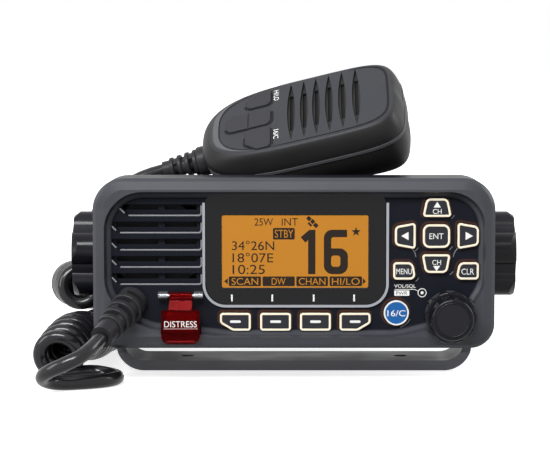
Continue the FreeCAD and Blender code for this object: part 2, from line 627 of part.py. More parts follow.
def distress_cover():
    """Clear red cover: curved skin, bottom lip, arm, hinge barrel and two grip ribs."""
    inner = [(y + COVER_T, z) for y, z in COVER_SIDE]
    x0, x1 = COVER_FRONT[0][0] - PAST, COVER_FRONT[1][0] + PAST
    side = [V(x0, y, z) for y, z in COVER_SIDE + COVER_LIP + inner[::-1]]
    skin = Part.Face(Part.makePolygon(side + side[:1])).extrude(V(x1 - x0, 0, 0))
    skin = skin.common(slab(COVER_FRONT, -FASCIA_Y, FASCIA_Y))
    ribs = [box(RIB_X0, RIB_X1, RIB_Y0, RIB_Y1, z, z + RIB_H) for z in RIB_Z]
    solid = join([skin, box(*COVER_ARM), on_hinge(BARREL_X0, BARREL_X1, BARREL_R)] + ribs)
    return solid.cut(on_hinge(x0, x1, HINGE_PIN_R + RUN))


# ---------------------------------------------------------------- bracket and clamp knobs

ARM_HOLE_R, ARM_HALF = 3.4, 8.0
BRACKET_R = 11.5
# The arms run straight up to SHOULDER_Z and taper to their width at TAPER_Z.
SHOULDER_Z, TAPER_Z = FLOOR_Z + 7.4, FLOOR_Z + 13.4
WASHER_R = 7.6
GRIP_X0, GRIP_X1 = 75.6, 90.0
HUB_R, CORE_R, LOBES, LOBE_R, LOBE_REACH = 11.0, 14.4, 5, 7.0, 11.0
# Radii of the clamp knob's rounded envelope: at its inner end, along it and at its outer end.
DOME_IN_R, DOME_R, DOME_OUT_R = 16.8, 18.6, 16.4
DOME_IN, DOME_OUT = 2.5, 3.0
DISH_IN_R, DISH_IN_D = 8.5, 1.2
STUD_SEAT, STUD_END_X = 6.0, 54.0


def mounting_bracket():
    """U-shaped bracket: a base plate turned up into two tapering arms."""
    half, top = BRACKET_W / 2, TILT_Z + ARM_HALF
    inside = half - BRACKET_T
    outer = [(-half, FLOOR_Z, BRACKET_R), (half, FLOOR_Z, BRACKET_R), (half, top, 0.5), (-half, top, 0.5)]
    inner = [(-inside, FLOOR_Z + BASE_T, BRACKET_R - BRACKET_T),
             (inside, FLOOR_Z + BASE_T, BRACKET_R - BRACKET_T),
             (inside, top + BRACKET_T, 0.5), (-inside, top + BRACKET_T, 0.5)]
    body = slab(outer, BRACKET_Y0, BRACKET_Y1).cut(slab(inner, BRACKET_Y0 - PAST, BRACKET_Y1 + PAST))
    near, far = TILT_Y - ARM_HALF, TILT_Y + ARM_HALF
    x0, x1 = -half - PAST, half + PAST
    arm = [V(x0, y, z) for y, z in (
        (BRACKET_Y0, FLOOR_Z - PAST), (BRACKET_Y1, FLOOR_Z - PAST), (BRACKET_Y1, SHOULDER_Z),
        (far, TAPER_Z), (far, TILT_Z), (near, TILT_Z), (near, TAPER_Z), (BRACKET_Y0, SHOULDER_Z))]
    side = Part.Face(Part.makePolygon(arm + arm[:1])).extrude(V(x1 - x0, 0, 0))
    body = body.common(join([side, along_x(x0, x1, ARM_HALF)]))
    cutters = [along_x(x0, x1, ARM_HOLE_R)]
    for x in (-SCREW_SPACING / 2, SCREW_SPACING / 2):
        cutters.append(rod((x, TILT_Y, FLOOR_Z - PAST), (x, TILT_Y, FLOOR_Z + BASE_T + PAST), SCREW_R))
    return remove(body, cutters)


def arm_washers():
    """Rubber washers that grip between the arms and the chassis."""
    solids = []
    for side in (-1, 1):
        near, far = side * (CHASSIS_W / 2 + GAP), side * (BRACKET_W / 2 - BRACKET_T)
        solids.append(tube((near, TILT_Y, TILT_Z), (far, TILT_Y, TILT_Z), WASHER_R, ARM_HOLE_R))
    return solids


def clamp_knob(side):
    """Lobed hand knob with a stepped hub and a domed outer face."""
    def at(x):
        return (side * x, TILT_Y, TILT_Z)
    start = BRACKET_W / 2 + GAP
    hub = rod(at(start), at(GRIP_X0), HUB_R)
    core = rod(at(GRIP_X0), at(GRIP_X1), CORE_R)
    lobes = []
    for i in range(LOBES):
        angle = 2 * math.pi * (i + 0.25) / LOBES
        y, z = TILT_Y + LOBE_REACH * math.cos(angle), TILT_Z + LOBE_REACH * math.sin(angle)
        lobes.append(rod((side * GRIP_X0, y, z), (side * GRIP_X1, y, z), LOBE_R))
    grip = join([core] + lobes)
    dome = join([rod(at(GRIP_X0 - PAST), at(GRIP_X0 + DOME_IN), DOME_IN_R, DOME_R),
                 rod(at(GRIP_X0 + DOME_IN), at(GRIP_X1 - DOME_OUT), DOME_R),
                 rod(at(GRIP_X1 - DOME_OUT), at(GRIP_X1), DOME_R - 0.2, DOME_OUT_R)])
    recess = rod(at(GRIP_X1 - DISH_IN_D), at(GRIP_X1 + PAST), DISH_IN_R)
    seat = rod(at(start - PAST), at(start + STUD_SEAT), STUD_R + PRESS)
    return remove(join([hub, grip.common(dome)]), [recess, seat])


def clamp_screw(side):
    return along_x(side * STUD_END_X, side * (BRACKET_W / 2 + GAP + STUD_SEAT), STUD_R)


# ---------------------------------------------------------------- strain reliefs

# Where a boot's first groove starts, and how much of the pitch a groove takes; the rest is a raised fin.
GROOVE_START, GROOVE_SHARE = 2.6, 0.5
GROOVES = 4
FIN_RISE, FIN_ROUND = 0.8, 0.5


def strain_relief(length, base_r, tip_r, core_r, collar):
    """Tapered boot along +Z with cross-cut grooves whose bridges alternate, fins and a collar."""
    body = join([
        Part.makeCone(base_r, tip_r, length - collar),
        Part.makeCylinder(tip_r, collar, V(0, 0, length - collar)),
    ])
    pitch = (length - collar - GROOVE_START) / GROOVES
    width, reach = 1.5 * core_r, base_r + 2 * PAST
    fins = []
    for i in range(GROOVES):
        low = GROOVE_START + i * pitch
        groove = Part.makeCylinder(base_r + PAST, pitch * GROOVE_SHARE, V(0, 0, low))
        groove = groove.cut(Part.makeCylinder(core_r, pitch, V(0, 0, low)))
        bridge = Part.makeBox(width, 2 * reach, pitch, V(-width / 2, -reach, low))
        bridge.rotate(V(0, 0, 0), V(0, 0, 1), 90 * (i % 2))
        body = body.cut(groove.cut(bridge))
        fin_low, fin_t = low + pitch * GROOVE_SHARE, pitch * (1 - GROOVE_SHARE)
        taper = (fin_low + fin_t / 2) / (length - collar)
        fin = Part.makeCylinder(base_r + (tip_r - base_r) * taper + FIN_RISE, fin_t, V(0, 0, fin_low))
        fins.append(fin.makeFillet(FIN_ROUND, fin.Edges[::2]))
    return join([body] + fins)


BOOT_LENGTH, BOOT_BASE_R, BOOT_TIP_R, BOOT_CORE_R, BOOT_COLLAR = 29.5, 6.2, 4.4, 3.1, 7.0
NUT_R, NUT_T = 5.1, 2.0


def cord_boot_front():
    """The panel's boot, cut flat where it meets the fascia, with its stem and retaining nut."""
    relief = strain_relief(BOOT_LENGTH, BOOT_BASE_R, BOOT_TIP_R, BOOT_CORE_R, BOOT_COLLAR)
    boot = placed(relief, BOOT_BASE, BOOT_DIR)
    boot = boot.common(box(-PANEL_W, 0, -PANEL_W, FASCIA_Y, -PANEL_H, PANEL_H))
    x, _, z = BOOT_BASE
    stem = along_y(x, z, FASCIA_Y, FASCIA_BACK, BOOT_HOLE_R - RUN)
    nut = along_y(x, z, FASCIA_BACK, FASCIA_BACK + NUT_T, NUT_R)
    return join([boot, stem, nut])


# ---------------------------------------------------------------- microphone

# The microphone is drawn in its own frame: u along it, w across it and n out of its face.
MIC_CENTRE = V(5.5, 60.0, 46.6)
MIC_TILT, MIC_ROLL = 31.4, 15.9
MIC_TURN = FreeCAD.Rotation(V(1, 0, 0), MIC_TILT) * FreeCAD.Rotation(V(0, 1, 0), -MIC_ROLL)
MIC_MID_U = 4.0
FACE_N, SEAM_N, MIC_BOOT_N = 14.0, 4.0, 1.0
SHELL_T = 2.0
EGG_POINTS = 40
# How square the head end and the tail end are: 2 is an ellipse.
HEAD_POWER, TAIL_POWER = 5.0, 3.0


def mic_place(*solids):
    """From the microphone's own frame to the panel's frame."""
    result = []
    for solid in solids:
        moved = solid.copy()
        moved.Placement = FreeCAD.Placement(MIC_CENTRE, MIC_TURN) * moved.Placement
        result.append(moved)
    return result


def egg(tail, head, half, n, lean=0.0):
    """Closed curve at height n, blunt at the head end, leaning away from the face by lean."""
    points = []
    for i in range(EGG_POINTS):
        angle = 2 * math.pi * i / EGG_POINTS
        c, s = math.cos(angle), math.sin(angle)
        length, power = (head - MIC_MID_U, HEAD_POWER) if c >= 0 else (MIC_MID_U - tail, TAIL_POWER)
        u = MIC_MID_U + length * math.copysign(abs(c) ** (2 / power), c)
        w = half * math.copysign(abs(s) ** (2 / power), s)
        points.append(V(u, w, n + lean * (u - MIC_MID_U)))
    curve = Part.BSplineCurve()
    curve.interpolate(Points=points, PeriodicFlag=True)
    return Part.Wire([curve.toShape()])


def egg_loft(sections, inset=0.0, shift=0.0):
    """Smooth solid through (tail, head, half width, height, lean) sections."""
    return Part.makeLoft([egg(tail + inset, head - inset, half - inset, n + shift, *lean)
                          for tail, head, half, n, *lean in sections], True, False)


SEAM_T, SEAM_PROUD = 1.2, 0.3
SEAM = (-42.2, 42.4, 26.3)
FRONT_SHELL = [(*SEAM, SEAM_N + SEAM_T / 2), (-43.0, 42.1, 26.1, 7.6), (-41.2, 41.2, 25.2, 11.2),
               (-38.0, 39.9, 24.0, 13.5), (-35.2, 38.4, 22.6, FACE_N)]
REAR_SHELL = [(*SEAM, SEAM_N - SEAM_T / 2), (-41.6, 42.5, 26.2, -1.0, -0.02),
              (-39.0, 41.8, 24.4, -5.8, -0.055), (-33.0, 39.4, 20.0, -10.0, -0.10),
              (-20.0, 33.0, 11.6, -12.9, -0.12)]
BACK_N = -12.9
# How far past the seam the shells' insides reach, so that they open into one another.
MEET = 0.8
SLOT_U = (-3.0, 2.5, 7.7, 13.2, 18.8, 24.7)
SLOT_W0, SLOT_W1, SLOT_MID_W, SLOT_HALF = -20.6, 21.8, 0.6, 1.75
SLOT_DEPTH = 1.1
THROUGH_W0, THROUGH_LENGTH, THROUGH_WIDTH = -12.0, 26.0, 1.5
MIC_KEYS = {
    "mic_key_hilo": [(-22.4, 9.8, 2.4), (-11.6, 9.8, 2.6), (-11.6, 21.0, 1.8), (-17.5, 21.0, 2.0),
                     (-22.4, 16.6, 2.0)],
    "mic_key_16": [(-22.4, -16.6, 2.0), (-17.5, -21.6, 2.0), (-11.6, -21.6, 1.8),
                   (-11.6, -6.6, 2.6), (-22.4, -6.6, 2.4)],
    "mic_rocker": [(-30.8, -4.9, 3.0), (-11.6, -4.9, 3.0), (-11.6, 6.6, 3.0), (-30.8, 6.6, 3.0)],
}
MIC_KEY_PROUD, MIC_KEY_EDGE_R = 0.9, 0.6
MIC_FLANGE_T, MIC_FLANGE_W, ROCKER_GAP = 0.8, 0.5, 0.8
ROCKER_GROOVE_U, ROCKER_GROOVE_W, ROCKER_GROOVE_D = -21.4, 0.9, 0.45


def mic_prism(corners, n0, n1):
    """Rounded outline in the face's plane, carried along the face normal."""
    shape = slab([(u, w, r) for u, w, r in corners], 0, n1 - n0)
    shape.rotate(V(0, 0, 0), V(1, 0, 0), 90)
    shape = shape.mirror(V(0, 0, 0), V(0, 1, 0))
    shape.translate(V(0, 0, n0 if shape.BoundBox.ZMin > -0.001 else n1))
    return shape


def mic_slot(u):
    """One lens-shaped slot across the face."""
    low = FACE_N - SLOT_DEPTH
    near, far = V(u, SLOT_W0, low), V(u, SLOT_W1, low)
    right, left = V(u + SLOT_HALF, SLOT_MID_W, low), V(u - SLOT_HALF, SLOT_MID_W, low)
    wire = Part.Wire([Part.Arc(near, right, far).toShape(), Part.Arc(far, left, near).toShape()])
    slot = Part.Face(wire).extrude(V(0, 0, SLOT_DEPTH + PAST))
    through = Part.makeBox(THROUGH_WIDTH, THROUGH_LENGTH, 3 * SHELL_T,
                           V(u - THROUGH_WIDTH / 2, THROUGH_W0, FACE_N - 2 * SHELL_T))
    return [slot, through]


PTT = rectangle(3.0, 34.0, -5.0, 8.0, 3.0)
PTT_W0, PTT_W1, PTT_EDGE_R = 21.5, 28.6, 1.4


def ptt_bar(grow, w0, w1):
    """Rounded bar on the far side wall: length along u, height along n, depth along w."""
    bar = slab([(u, n, r) for u, n, r in grown(PTT, grow)], 0, w1 - w0)
    bar.translate(V(0, w0, 0))
    return bar


def ptt_opening():
    return ptt_bar(KEY_GAP, PTT_W0 - SHELL_T, PTT_W1 + SHELL_T)


def mic_front_shell():
    """The face with its slots and key openings, hollow behind."""
    shell = egg_loft(FRONT_SHELL)
    inner = join([egg_loft(FRONT_SHELL, SHELL_T, -SHELL_T), egg_loft(FRONT_SHELL[:2], SHELL_T, -MEET)])
    cutters = [inner, ptt_opening(), mic_boot()]
    cutters += [mic_prism(grown(corners, KEY_GAP), SEAM_N + PAST, FACE_N + PAST)
                for corners in MIC_KEYS.values()]
    cutters += [cutter for u in SLOT_U for cutter in mic_slot(u)]
    return remove(shell, cutters)


def mic_rear_shell():
    """The rounded back, hollow inside, with the screw holes and the hanger button's hole."""
    shell = egg_loft(REAR_SHELL)
    inner = join([egg_loft(REAR_SHELL, SHELL_T, SHELL_T), egg_loft(REAR_SHELL[:2], SHELL_T, MEET)])
    holes = [(u, w, MIC_SCREW_HOLE_R) for u, w in MIC_SCREWS] + [(*HANGER, HANGER_R + RUN)]
    drills = [Part.makeCylinder(r, -2 * BACK_N, V(u, w, 2 * BACK_N)) for u, w, r in holes]
    return remove(shell, [inner, ptt_opening(), mic_boot()] + drills)


def mic_seam_band():
    """Thin band between the two shells, a little proud of them."""
    low, high = SEAM_N - SEAM_T / 2, SEAM_N + SEAM_T / 2
    ring = egg_loft([(*SEAM, low), (*SEAM, high)], -SEAM_PROUD)
    ring = ring.cut(egg_loft([(*SEAM, low - PAST), (*SEAM, high + PAST)], SHELL_T - 0.2))
    return remove(ring, [ptt_opening(), mic_boot()])


MIC_SCREWS = ((-14.0, 12.0), (-14.0, -12.0), (28.0, 13.0), (28.0, -13.0))
MIC_SCREW_R, MIC_SCREW_HOLE_R, MIC_SCREW_N0, MIC_SCREW_LENGTH = 1.2, 1.7, -10.0, 12.6
HANGER, HANGER_R, HANGER_STANDS = (12.0, 2.0), 2.55, 3.0
HANGER_HEAD_R, HANGER_HEAD_T, HANGER_STEM = 4.8, 1.6, 7.0
MIC_BOARD = (-34.0, 36.5, 19.0)
MIC_BOARD_N0, MIC_BOARD_N1 = 3.0, 4.6
ELEMENT_R, ELEMENT_H, ELEMENT_U = 4.8, 5.0, -3.0


def mic_key(name):
    """Key that stands above the face, held from behind by a wider flange."""
    corners = MIC_KEYS[name]
    top, inside = FACE_N + MIC_KEY_PROUD, FACE_N - SHELL_T
    flange_top = inside - (ROCKER_GAP if name == "mic_rocker" else GAP)
    flange_low = flange_top - MIC_FLANGE_T
    cap = mic_prism(corners, inside - GAP - MIC_FLANGE_T, top)
    cap = cap.makeFillet(MIC_KEY_EDGE_R, [edge for edge in cap.Edges
                                          if abs(edge.BoundBox.ZMin - top) < 0.001])
    flange = mic_prism(grown(corners, MIC_FLANGE_W), flange_low, flange_top)
    flange = flange.common(egg_loft(FRONT_SHELL, SHELL_T + GAP, -SHELL_T - GAP))
    cap = join([cap, flange])
    if name == "mic_rocker":
        low = V(ROCKER_GROOVE_U, -SEAM[2], top - ROCKER_GROOVE_D)
        cap = cap.cut(Part.makeBox(ROCKER_GROOVE_W, 2 * SEAM[2], PAST, low))
    return cap


def mic_ptt():
    bar = ptt_bar(0.0, PTT_W0, PTT_W1)
    return bar.makeFillet(PTT_EDGE_R, flat_edges(bar, PTT_W1))


def mic_board():
    return egg_loft([(*MIC_BOARD, MIC_BOARD_N0), (*MIC_BOARD, MIC_BOARD_N1)])


def mic_element():
    return Part.makeCylinder(ELEMENT_R, ELEMENT_H, V(ELEMENT_U, 0, MIC_BOARD_N1))


def mic_hanger_stud():
    """Button on the back that slides into a bulkhead hanger."""
    low = BACK_N - HANGER_STANDS
    stem = Part.makeCylinder(HANGER_R, HANGER_STEM, V(*HANGER, low))
    head = Part.makeCylinder(HANGER_HEAD_R, HANGER_HEAD_T, V(*HANGER, low - HANGER_HEAD_T))
    return join([stem, head])


def mic_screws():
    return [Part.makeCylinder(MIC_SCREW_R, MIC_SCREW_LENGTH, V(u, w, MIC_SCREW_N0))
            for u, w in MIC_SCREWS]


MIC_BOOT_U, MIC_BOOT_LENGTH = -42.5, 19.5
MIC_BOOT_BASE_R, MIC_BOOT_TIP_R, MIC_BOOT_CORE_R, MIC_BOOT_COLLAR = 5.2, 3.6, 2.75, 3.2
MIC_STEM_R, MIC_STEM_LENGTH = 3.2, 3.0
MIC_RING_R, MIC_RING_T = 6.2, 4.4


def mic_boot():
    """The microphone's boot, with the ring that meets the shells and the stem between them."""
    relief = strain_relief(MIC_BOOT_LENGTH, MIC_BOOT_BASE_R, MIC_BOOT_TIP_R, MIC_BOOT_CORE_R,
                           MIC_BOOT_COLLAR)
    stem = Part.makeCylinder(MIC_STEM_R, MIC_STEM_LENGTH + PAST, V(0, 0, -MIC_STEM_LENGTH))
    ring = Part.makeCylinder(MIC_RING_R, MIC_RING_T, V(0, 0, -0.2))
    ring = ring.makeFillet(0.8, ring.Edges[:1])
    return placed(join([relief, stem, ring]), (MIC_BOOT_U, 0, MIC_BOOT_N), (-1, 0, 0))


# ---------------------------------------------------------------- microphone cord

FLOOR_CORD_Z = FLOOR_Z + CORD_D / 2
BOOT_END = V(*BOOT_BASE) + V(*BOOT_DIR).normalize() * BOOT_LENGTH
LEAD_FRONT = [
    tuple(BOOT_END), tuple(BOOT_END + V(*BOOT_DIR).normalize() * 12.0), (-84.6, -34.9, -34.0),
    (-92.6, -32.8, -37.5), (-96.0, -25.5, -41.4), (-91.0, -18.5, FLOOR_CORD_Z),
    (-80.0, -15.0, FLOOR_CORD_Z), (-71.5, -10.0, FLOOR_CORD_Z), (-68.0, -2.0, FLOOR_CORD_Z),
    (-71.5, 6.5, FLOOR_CORD_Z), (-80.0, 9.5, -43.4), (-87.0, 7.5, -40.5),
]
COIL_FLOOR_Z = FLOOR_Z + COIL_D / 2
COIL = [
    (-92.5, -1.0, COIL_FLOOR_Z), (-89.4, 15.0, -31.6), (-86.6, 37.0, -32.4), (-85.0, 60.0, COIL_FLOOR_Z),
    (-83.4, 82.0, COIL_FLOOR_Z), (-75.5, 104.0, COIL_FLOOR_Z + 0.2), (-62.5, 122.0, -35.5),
    (-56.5, 141.0, -33.0), (-65.5, 157.0, -30.5), (-82.5, 161.0, -28.0), (-96.0, 150.0, -25.0),
    (-100.0, 130.0, -21.5), (-96.0, 105.0, -18.4), (-91.0, 80.0, -17.4),
]
LEAD_MIC_START = (-88.5, 84.0, -9.5)


def cord_path(points):
    """Straight runs joined by tangent arcs as large as each pair of runs allows."""
    points = [V(*p) for p in points]
    edges, radii, start = [], [], points[0]
    for i in range(1, len(points) - 1):
        here = points[i]
        back, ahead = points[i - 1] - here, points[i + 1] - here
        reach = 0.45 * min(back.Length, ahead.Length)
        back.normalize()
        ahead.normalize()
        half_turn = (math.pi - back.getAngle(ahead)) / 2
        radius = reach / math.tan(half_turn)
        inward = (back + ahead).normalize()
        middle = here + inward * (radius / math.cos(half_turn) - radius)
        first, last = here + back * reach, here + ahead * reach
        edges += [Part.LineSegment(start, first).toShape(), Part.Arc(first, middle, last).toShape()]
        radii.append(round(radius, 1))
        start = last
    edges.append(Part.LineSegment(start, points[-1]).toShape())
    return Part.Wire(edges), radii, sum(edge.Length for edge in edges)


def cord_tube(name, points, diameter):
    path, radii, length = cord_path(points)
    circle = Part.makeCircle(diameter / 2, V(*points[0]), V(*points[1]) - V(*points[0]))
    solid = path.makePipeShell([Part.Wire([circle])], True, False)
    section = math.pi * diameter ** 2 / 4
    print("%s: length %.1f, radii %s, volume ratio %.4f"
          % (name, length, radii, solid.Volume / (section * length)))
    return solid


def lead_mic_points():
    """Route from the coil's top end up over the chassis edge to the microphone's boot."""
    tip = V(MIC_BOOT_U - MIC_BOOT_LENGTH - GAP, 0, MIC_BOOT_N)
    end = MIC_CENTRE + MIC_TURN.multVec(tip)
    straight = end - MIC_TURN.multVec(V(1, 0, 0)) * 10.0
    return [LEAD_MIC_START, (-89.0, 83.0, 1.0), (-85.5, 79.5, 12.5), (-77.5, 76.0, 21.5),
            tuple(straight), tuple(end)]


# ---------------------------------------------------------------- export

def build():
    os.makedirs("parts", exist_ok=True)
    export("front_panel", front_panel())
    export("window_trim", window_trim())
    export("window_lens", window_lens())
    export("lcd_module", lcd_module())
    export("lcd_backlight", lcd_backlight())
    export("keypad_mat", keypad_mat())
    export("front_board", front_board())
    export("speaker_mesh", speaker_mesh())
    export("speaker_driver", speaker_driver())
    export("panel_gasket", panel_gasket())
    export("rear_chassis", rear_chassis())
    export("panel_screws", *panel_screws())
    export("side_inserts", *side_inserts())
    export("main_board", main_board())
    export("board_modules", shield_can(), power_module())
    export("antenna_socket", antenna_socket())
    export("cable_glands", *[gland(*place) for place in GLANDS])
    for name, corners in KEYS.items():
        export(name, key(corners, KEY_FRONT_Y))
    export("key_16", round_key())
    export("encoder_body", encoder_body())
    export("encoder_slider", encoder_slider())
    export("encoder_shaft", encoder_shaft())
    export("volume_knob", volume_knob())
    export("knob_cap", knob_cap())
    export("distress_key", distress_key())
    export("cover_lugs", *cover_lugs())
    export("distress_pin", distress_pin())
    export("distress_cover", distress_cover())
    export("mounting_bracket", mounting_bracket())
    export("arm_washers", *arm_washers())
    for side, word in ((-1, "left"), (1, "right")):
        export("knob_" + word, clamp_knob(side))
        export("knob_screw_" + word, clamp_screw(side))
    export("cord_boot_front", cord_boot_front())
    export("cord_lead_front", cord_tube("cord_lead_front", LEAD_FRONT, CORD_D))
    export("cord_coil", cord_tube("cord_coil", COIL, COIL_D))
    export("cord_lead_mic", cord_tube("cord_lead_mic", lead_mic_points(), CORD_D))
    export("mic_front_shell", *mic_place(mic_front_shell()))
    export("mic_rear_shell", *mic_place(mic_rear_shell()))
    export("mic_seam_band", *mic_place(mic_seam_band()))
    export("mic_board", *mic_place(mic_board()))
    export("mic_element", *mic_place(mic_element()))
    export("mic_hanger_stud", *mic_place(mic_hanger_stud()))
    export("mic_screws", *mic_place(*mic_screws()))
    export("mic_boot", *mic_place(mic_boot()))
    export("mic_ptt", *mic_place(mic_ptt()))
    for name in MIC_KEYS:
        export(name, *mic_place(mic_key(name)))
    print(len(NODES), "nodes")


build()
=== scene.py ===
"""Looks of the marine radio: materials, words, display, cord and fine trim round its solids."""

import json
import math

import bpy
from mathutils import Matrix, Vector


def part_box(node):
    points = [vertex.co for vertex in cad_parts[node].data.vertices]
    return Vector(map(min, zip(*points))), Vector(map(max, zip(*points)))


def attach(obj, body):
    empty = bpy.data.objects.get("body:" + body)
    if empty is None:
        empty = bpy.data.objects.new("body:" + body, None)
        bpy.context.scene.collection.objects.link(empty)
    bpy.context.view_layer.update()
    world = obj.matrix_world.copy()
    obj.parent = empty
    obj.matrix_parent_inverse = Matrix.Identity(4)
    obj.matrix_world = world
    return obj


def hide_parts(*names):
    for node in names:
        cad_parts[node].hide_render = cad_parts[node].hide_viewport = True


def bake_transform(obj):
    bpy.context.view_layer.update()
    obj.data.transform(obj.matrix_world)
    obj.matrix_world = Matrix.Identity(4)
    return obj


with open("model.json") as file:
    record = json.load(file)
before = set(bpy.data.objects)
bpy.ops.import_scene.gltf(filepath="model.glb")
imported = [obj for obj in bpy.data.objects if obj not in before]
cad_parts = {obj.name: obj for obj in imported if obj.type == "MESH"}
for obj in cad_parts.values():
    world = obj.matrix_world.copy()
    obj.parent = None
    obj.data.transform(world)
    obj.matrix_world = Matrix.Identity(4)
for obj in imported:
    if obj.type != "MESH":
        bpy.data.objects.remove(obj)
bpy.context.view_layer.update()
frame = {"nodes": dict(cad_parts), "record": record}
NODES = frame["nodes"]

MM = 0.001
PANEL_ORIGIN = Vector((0.0, -0.049, 0.047))      # the middle of the panel's face, in the row frame
FASCIA_Y = 4.5                                   # recessed face of the panel, behind its rim
KEY_Y = 3.0                                      # front of the keys
MIC_CENTRE = Vector((5.5, 60.0, 46.6))           # in the panel's drawing, in mm
MIC_TILT, MIC_ROLL = math.radians(31.4), math.radians(15.9)
MIC_FACE = 14.0                                  # height of the microphone's face over its middle

PANEL_FACE = (Matrix.Translation(PANEL_ORIGIN) @ Matrix.Rotation(math.radians(90), 4, "X")
              @ Matrix.Scale(MM, 4))
MIC_TURN = Matrix.Rotation(MIC_TILT, 4, "X") @ Matrix.Rotation(-MIC_ROLL, 4, "Y")
MIC_FRAME = (Matrix.Translation(PANEL_ORIGIN) @ Matrix.Scale(MM, 4)
             @ Matrix.Translation(MIC_CENTRE) @ MIC_TURN)


def panel_point(x, y, z):
    """A point of the panel's drawing, in mm, in the row frame."""
    return PANEL_ORIGIN + Vector((x, y, z)) * MM


# ---------------------------------------------------------------- materials

def new_material(name):
    """A material with its node tree, its shader and a helper that adds nodes."""
    made = bpy.data.materials.new(name)
    made.use_nodes = True
    tree = made.node_tree
    shader = tree.nodes["Principled BSDF"]

    def add(kind, **settings):
        node = tree.nodes.new(kind)
        for key, value in settings.items():
            if key in node.inputs:
                node.inputs[key].default_value = value
            else:
                setattr(node, key, value)
        return node

    return made, tree, shader, add


def noise(tree, add, coords, scale, detail):
    """A noise texture in object space; scale is in features per metre."""
    texture = add("ShaderNodeTexNoise", Scale=scale, Detail=detail)
    tree.links.new(coords.outputs["Object"], texture.inputs["Vector"])
    return texture.outputs["Fac"]


NOISE_LOW, NOISE_HIGH = 0.3, 0.7                 # between which most of a noise texture lies


def spread(tree, add, value, low, high):
    """A noise factor, turned into a range of numbers."""
    remap = add("ShaderNodeMapRange")
    remap.inputs["From Min"].default_value = NOISE_LOW
    remap.inputs["From Max"].default_value = NOISE_HIGH
    remap.inputs["To Min"].default_value = low
    remap.inputs["To Max"].default_value = high
    tree.links.new(value, remap.inputs["Value"])
    return remap.outputs["Result"]


METAL_SHINE, PLASTIC_SHINE = 0.5, 0.18           # dull plastic mirrors little of a white room
MOTTLE_SCALE = 60                                # features per metre
EDGE_FROM, EDGE_TO = 0.53, 0.62                  # edge pointiness: wear and painted highlight
EDGE_TIMES, EDGE_PLUS = 2.2, 0.03
SMOOTHEST = 0.02


def surface(name, color, roughness, metallic=0.0, grain=2600, relief=0.02, mottle=0.10, vary=0.05,
            wear_and_sheen=0.0, **sockets):
    """A moulded, cast or brushed surface: fine grain in its relief, soft mottling in its colour
    and gloss, and where asked paler edges, partly wear and partly a painted highlight."""
    made, tree, shader, add = new_material(name)
    coords = add("ShaderNodeTexCoord")
    broad = noise(tree, add, coords, MOTTLE_SCALE, 3.0)
    fine = noise(tree, add, coords, grain, 2.0)
    dark = [channel * (1 - mottle) for channel in color] + [1]
    pale = [min(1, channel * (1 + mottle)) for channel in color] + [1]
    tint = add("ShaderNodeMix", data_type="RGBA")
    tint.inputs["A"].default_value = dark
    tint.inputs["B"].default_value = pale
    tree.links.new(broad, tint.inputs["Factor"])
    last = tint.outputs["Result"]
    # paler edges by pointiness: partly wear, partly a painted highlight
    if wear_and_sheen:
        edges = add("ShaderNodeNewGeometry")
        mask = add("ShaderNodeMapRange")
        mask.inputs["From Min"].default_value = EDGE_FROM
        mask.inputs["From Max"].default_value = EDGE_TO
        mask.inputs["To Max"].default_value = wear_and_sheen
        edge_mix = add("ShaderNodeMix", data_type="RGBA")
        edge_colour = [min(1, channel * EDGE_TIMES + EDGE_PLUS) for channel in color]
        edge_mix.inputs["B"].default_value = edge_colour + [1]
        tree.links.new(edges.outputs["Pointiness"], mask.inputs["Value"])
        tree.links.new(mask.outputs["Result"], edge_mix.inputs["Factor"])
        tree.links.new(last, edge_mix.inputs["A"])
        last = edge_mix.outputs["Result"]
    tree.links.new(last, shader.inputs["Base Color"])
    gloss = spread(tree, add, broad, max(SMOOTHEST, roughness - vary), roughness + vary)
    tree.links.new(gloss, shader.inputs["Roughness"])
    bump = add("ShaderNodeBump", Strength=1.0, Distance=relief * MM)
    tree.links.new(fine, bump.inputs["Height"])
    tree.links.new(bump.outputs["Normal"], shader.inputs["Normal"])
    shader.inputs["Metallic"].default_value = metallic
    shine = METAL_SHINE if metallic else PLASTIC_SHINE
    shader.inputs["Specular IOR Level"].default_value = shine
    for socket, value in sockets.items():
        shader.inputs[socket.replace("_", " ")].default_value = value
    return made


def ink(name, color, glow=0.0, roughness=0.5):
    """Printed or lit legends, and painted glow and shade: a slightly uneven ink, which glows
    where glow is above 0.
    """
    sockets = {"Emission_Color": (*color, 1), "Emission_Strength": glow}
    return surface(name, color, roughness, grain=3500, relief=0.004, mottle=0.04, vary=0.03,
                   **sockets)


def clear_moulding(name, color, shine, roughness=0.06):
    """Clear moulded plastic, tinted through its thickness, with the colour of its shine."""
    made = surface(name, color, roughness, grain=300, relief=0.01, mottle=0.03, vary=0.02,
                   Transmission_Weight=0.92, IOR=1.49)
    made.node_tree.nodes["Principled BSDF"].inputs["Specular Tint"].default_value = (*shine, 1)
    return made


CHARCOAL = (0.036, 0.038, 0.046)
FASCIA_BLACK = (0.008, 0.009, 0.014)
RIM_ENDS_Y, FASCIA_STARTS_Y = 3.6, 4.3
RIM_SHINE, FASCIA_SHINE = 0.34, 0.06
MIC_SIDE_COLOR, MIC_FACE_COLOR = (0.017, 0.016, 0.016), (0.034, 0.035, 0.041)
FACE_FADE_FROM, FACE_FADE_TO = 0.9, 0.2          # below the microphone's face


def recolor(made, factor, color):
    """Turns a material's colour into another one where the factor is 1."""
    tree = made.node_tree
    base = tree.nodes["Principled BSDF"].inputs["Base Color"]
    mix = tree.nodes.new("ShaderNodeMix")
    mix.data_type = "RGBA"
    mix.inputs["B"].default_value = (*color, 1)
    tree.links.new(factor, mix.inputs["Factor"])
    tree.links.new(base.links[0].from_socket, mix.inputs["A"])
    tree.links.new(mix.outputs["Result"], base)


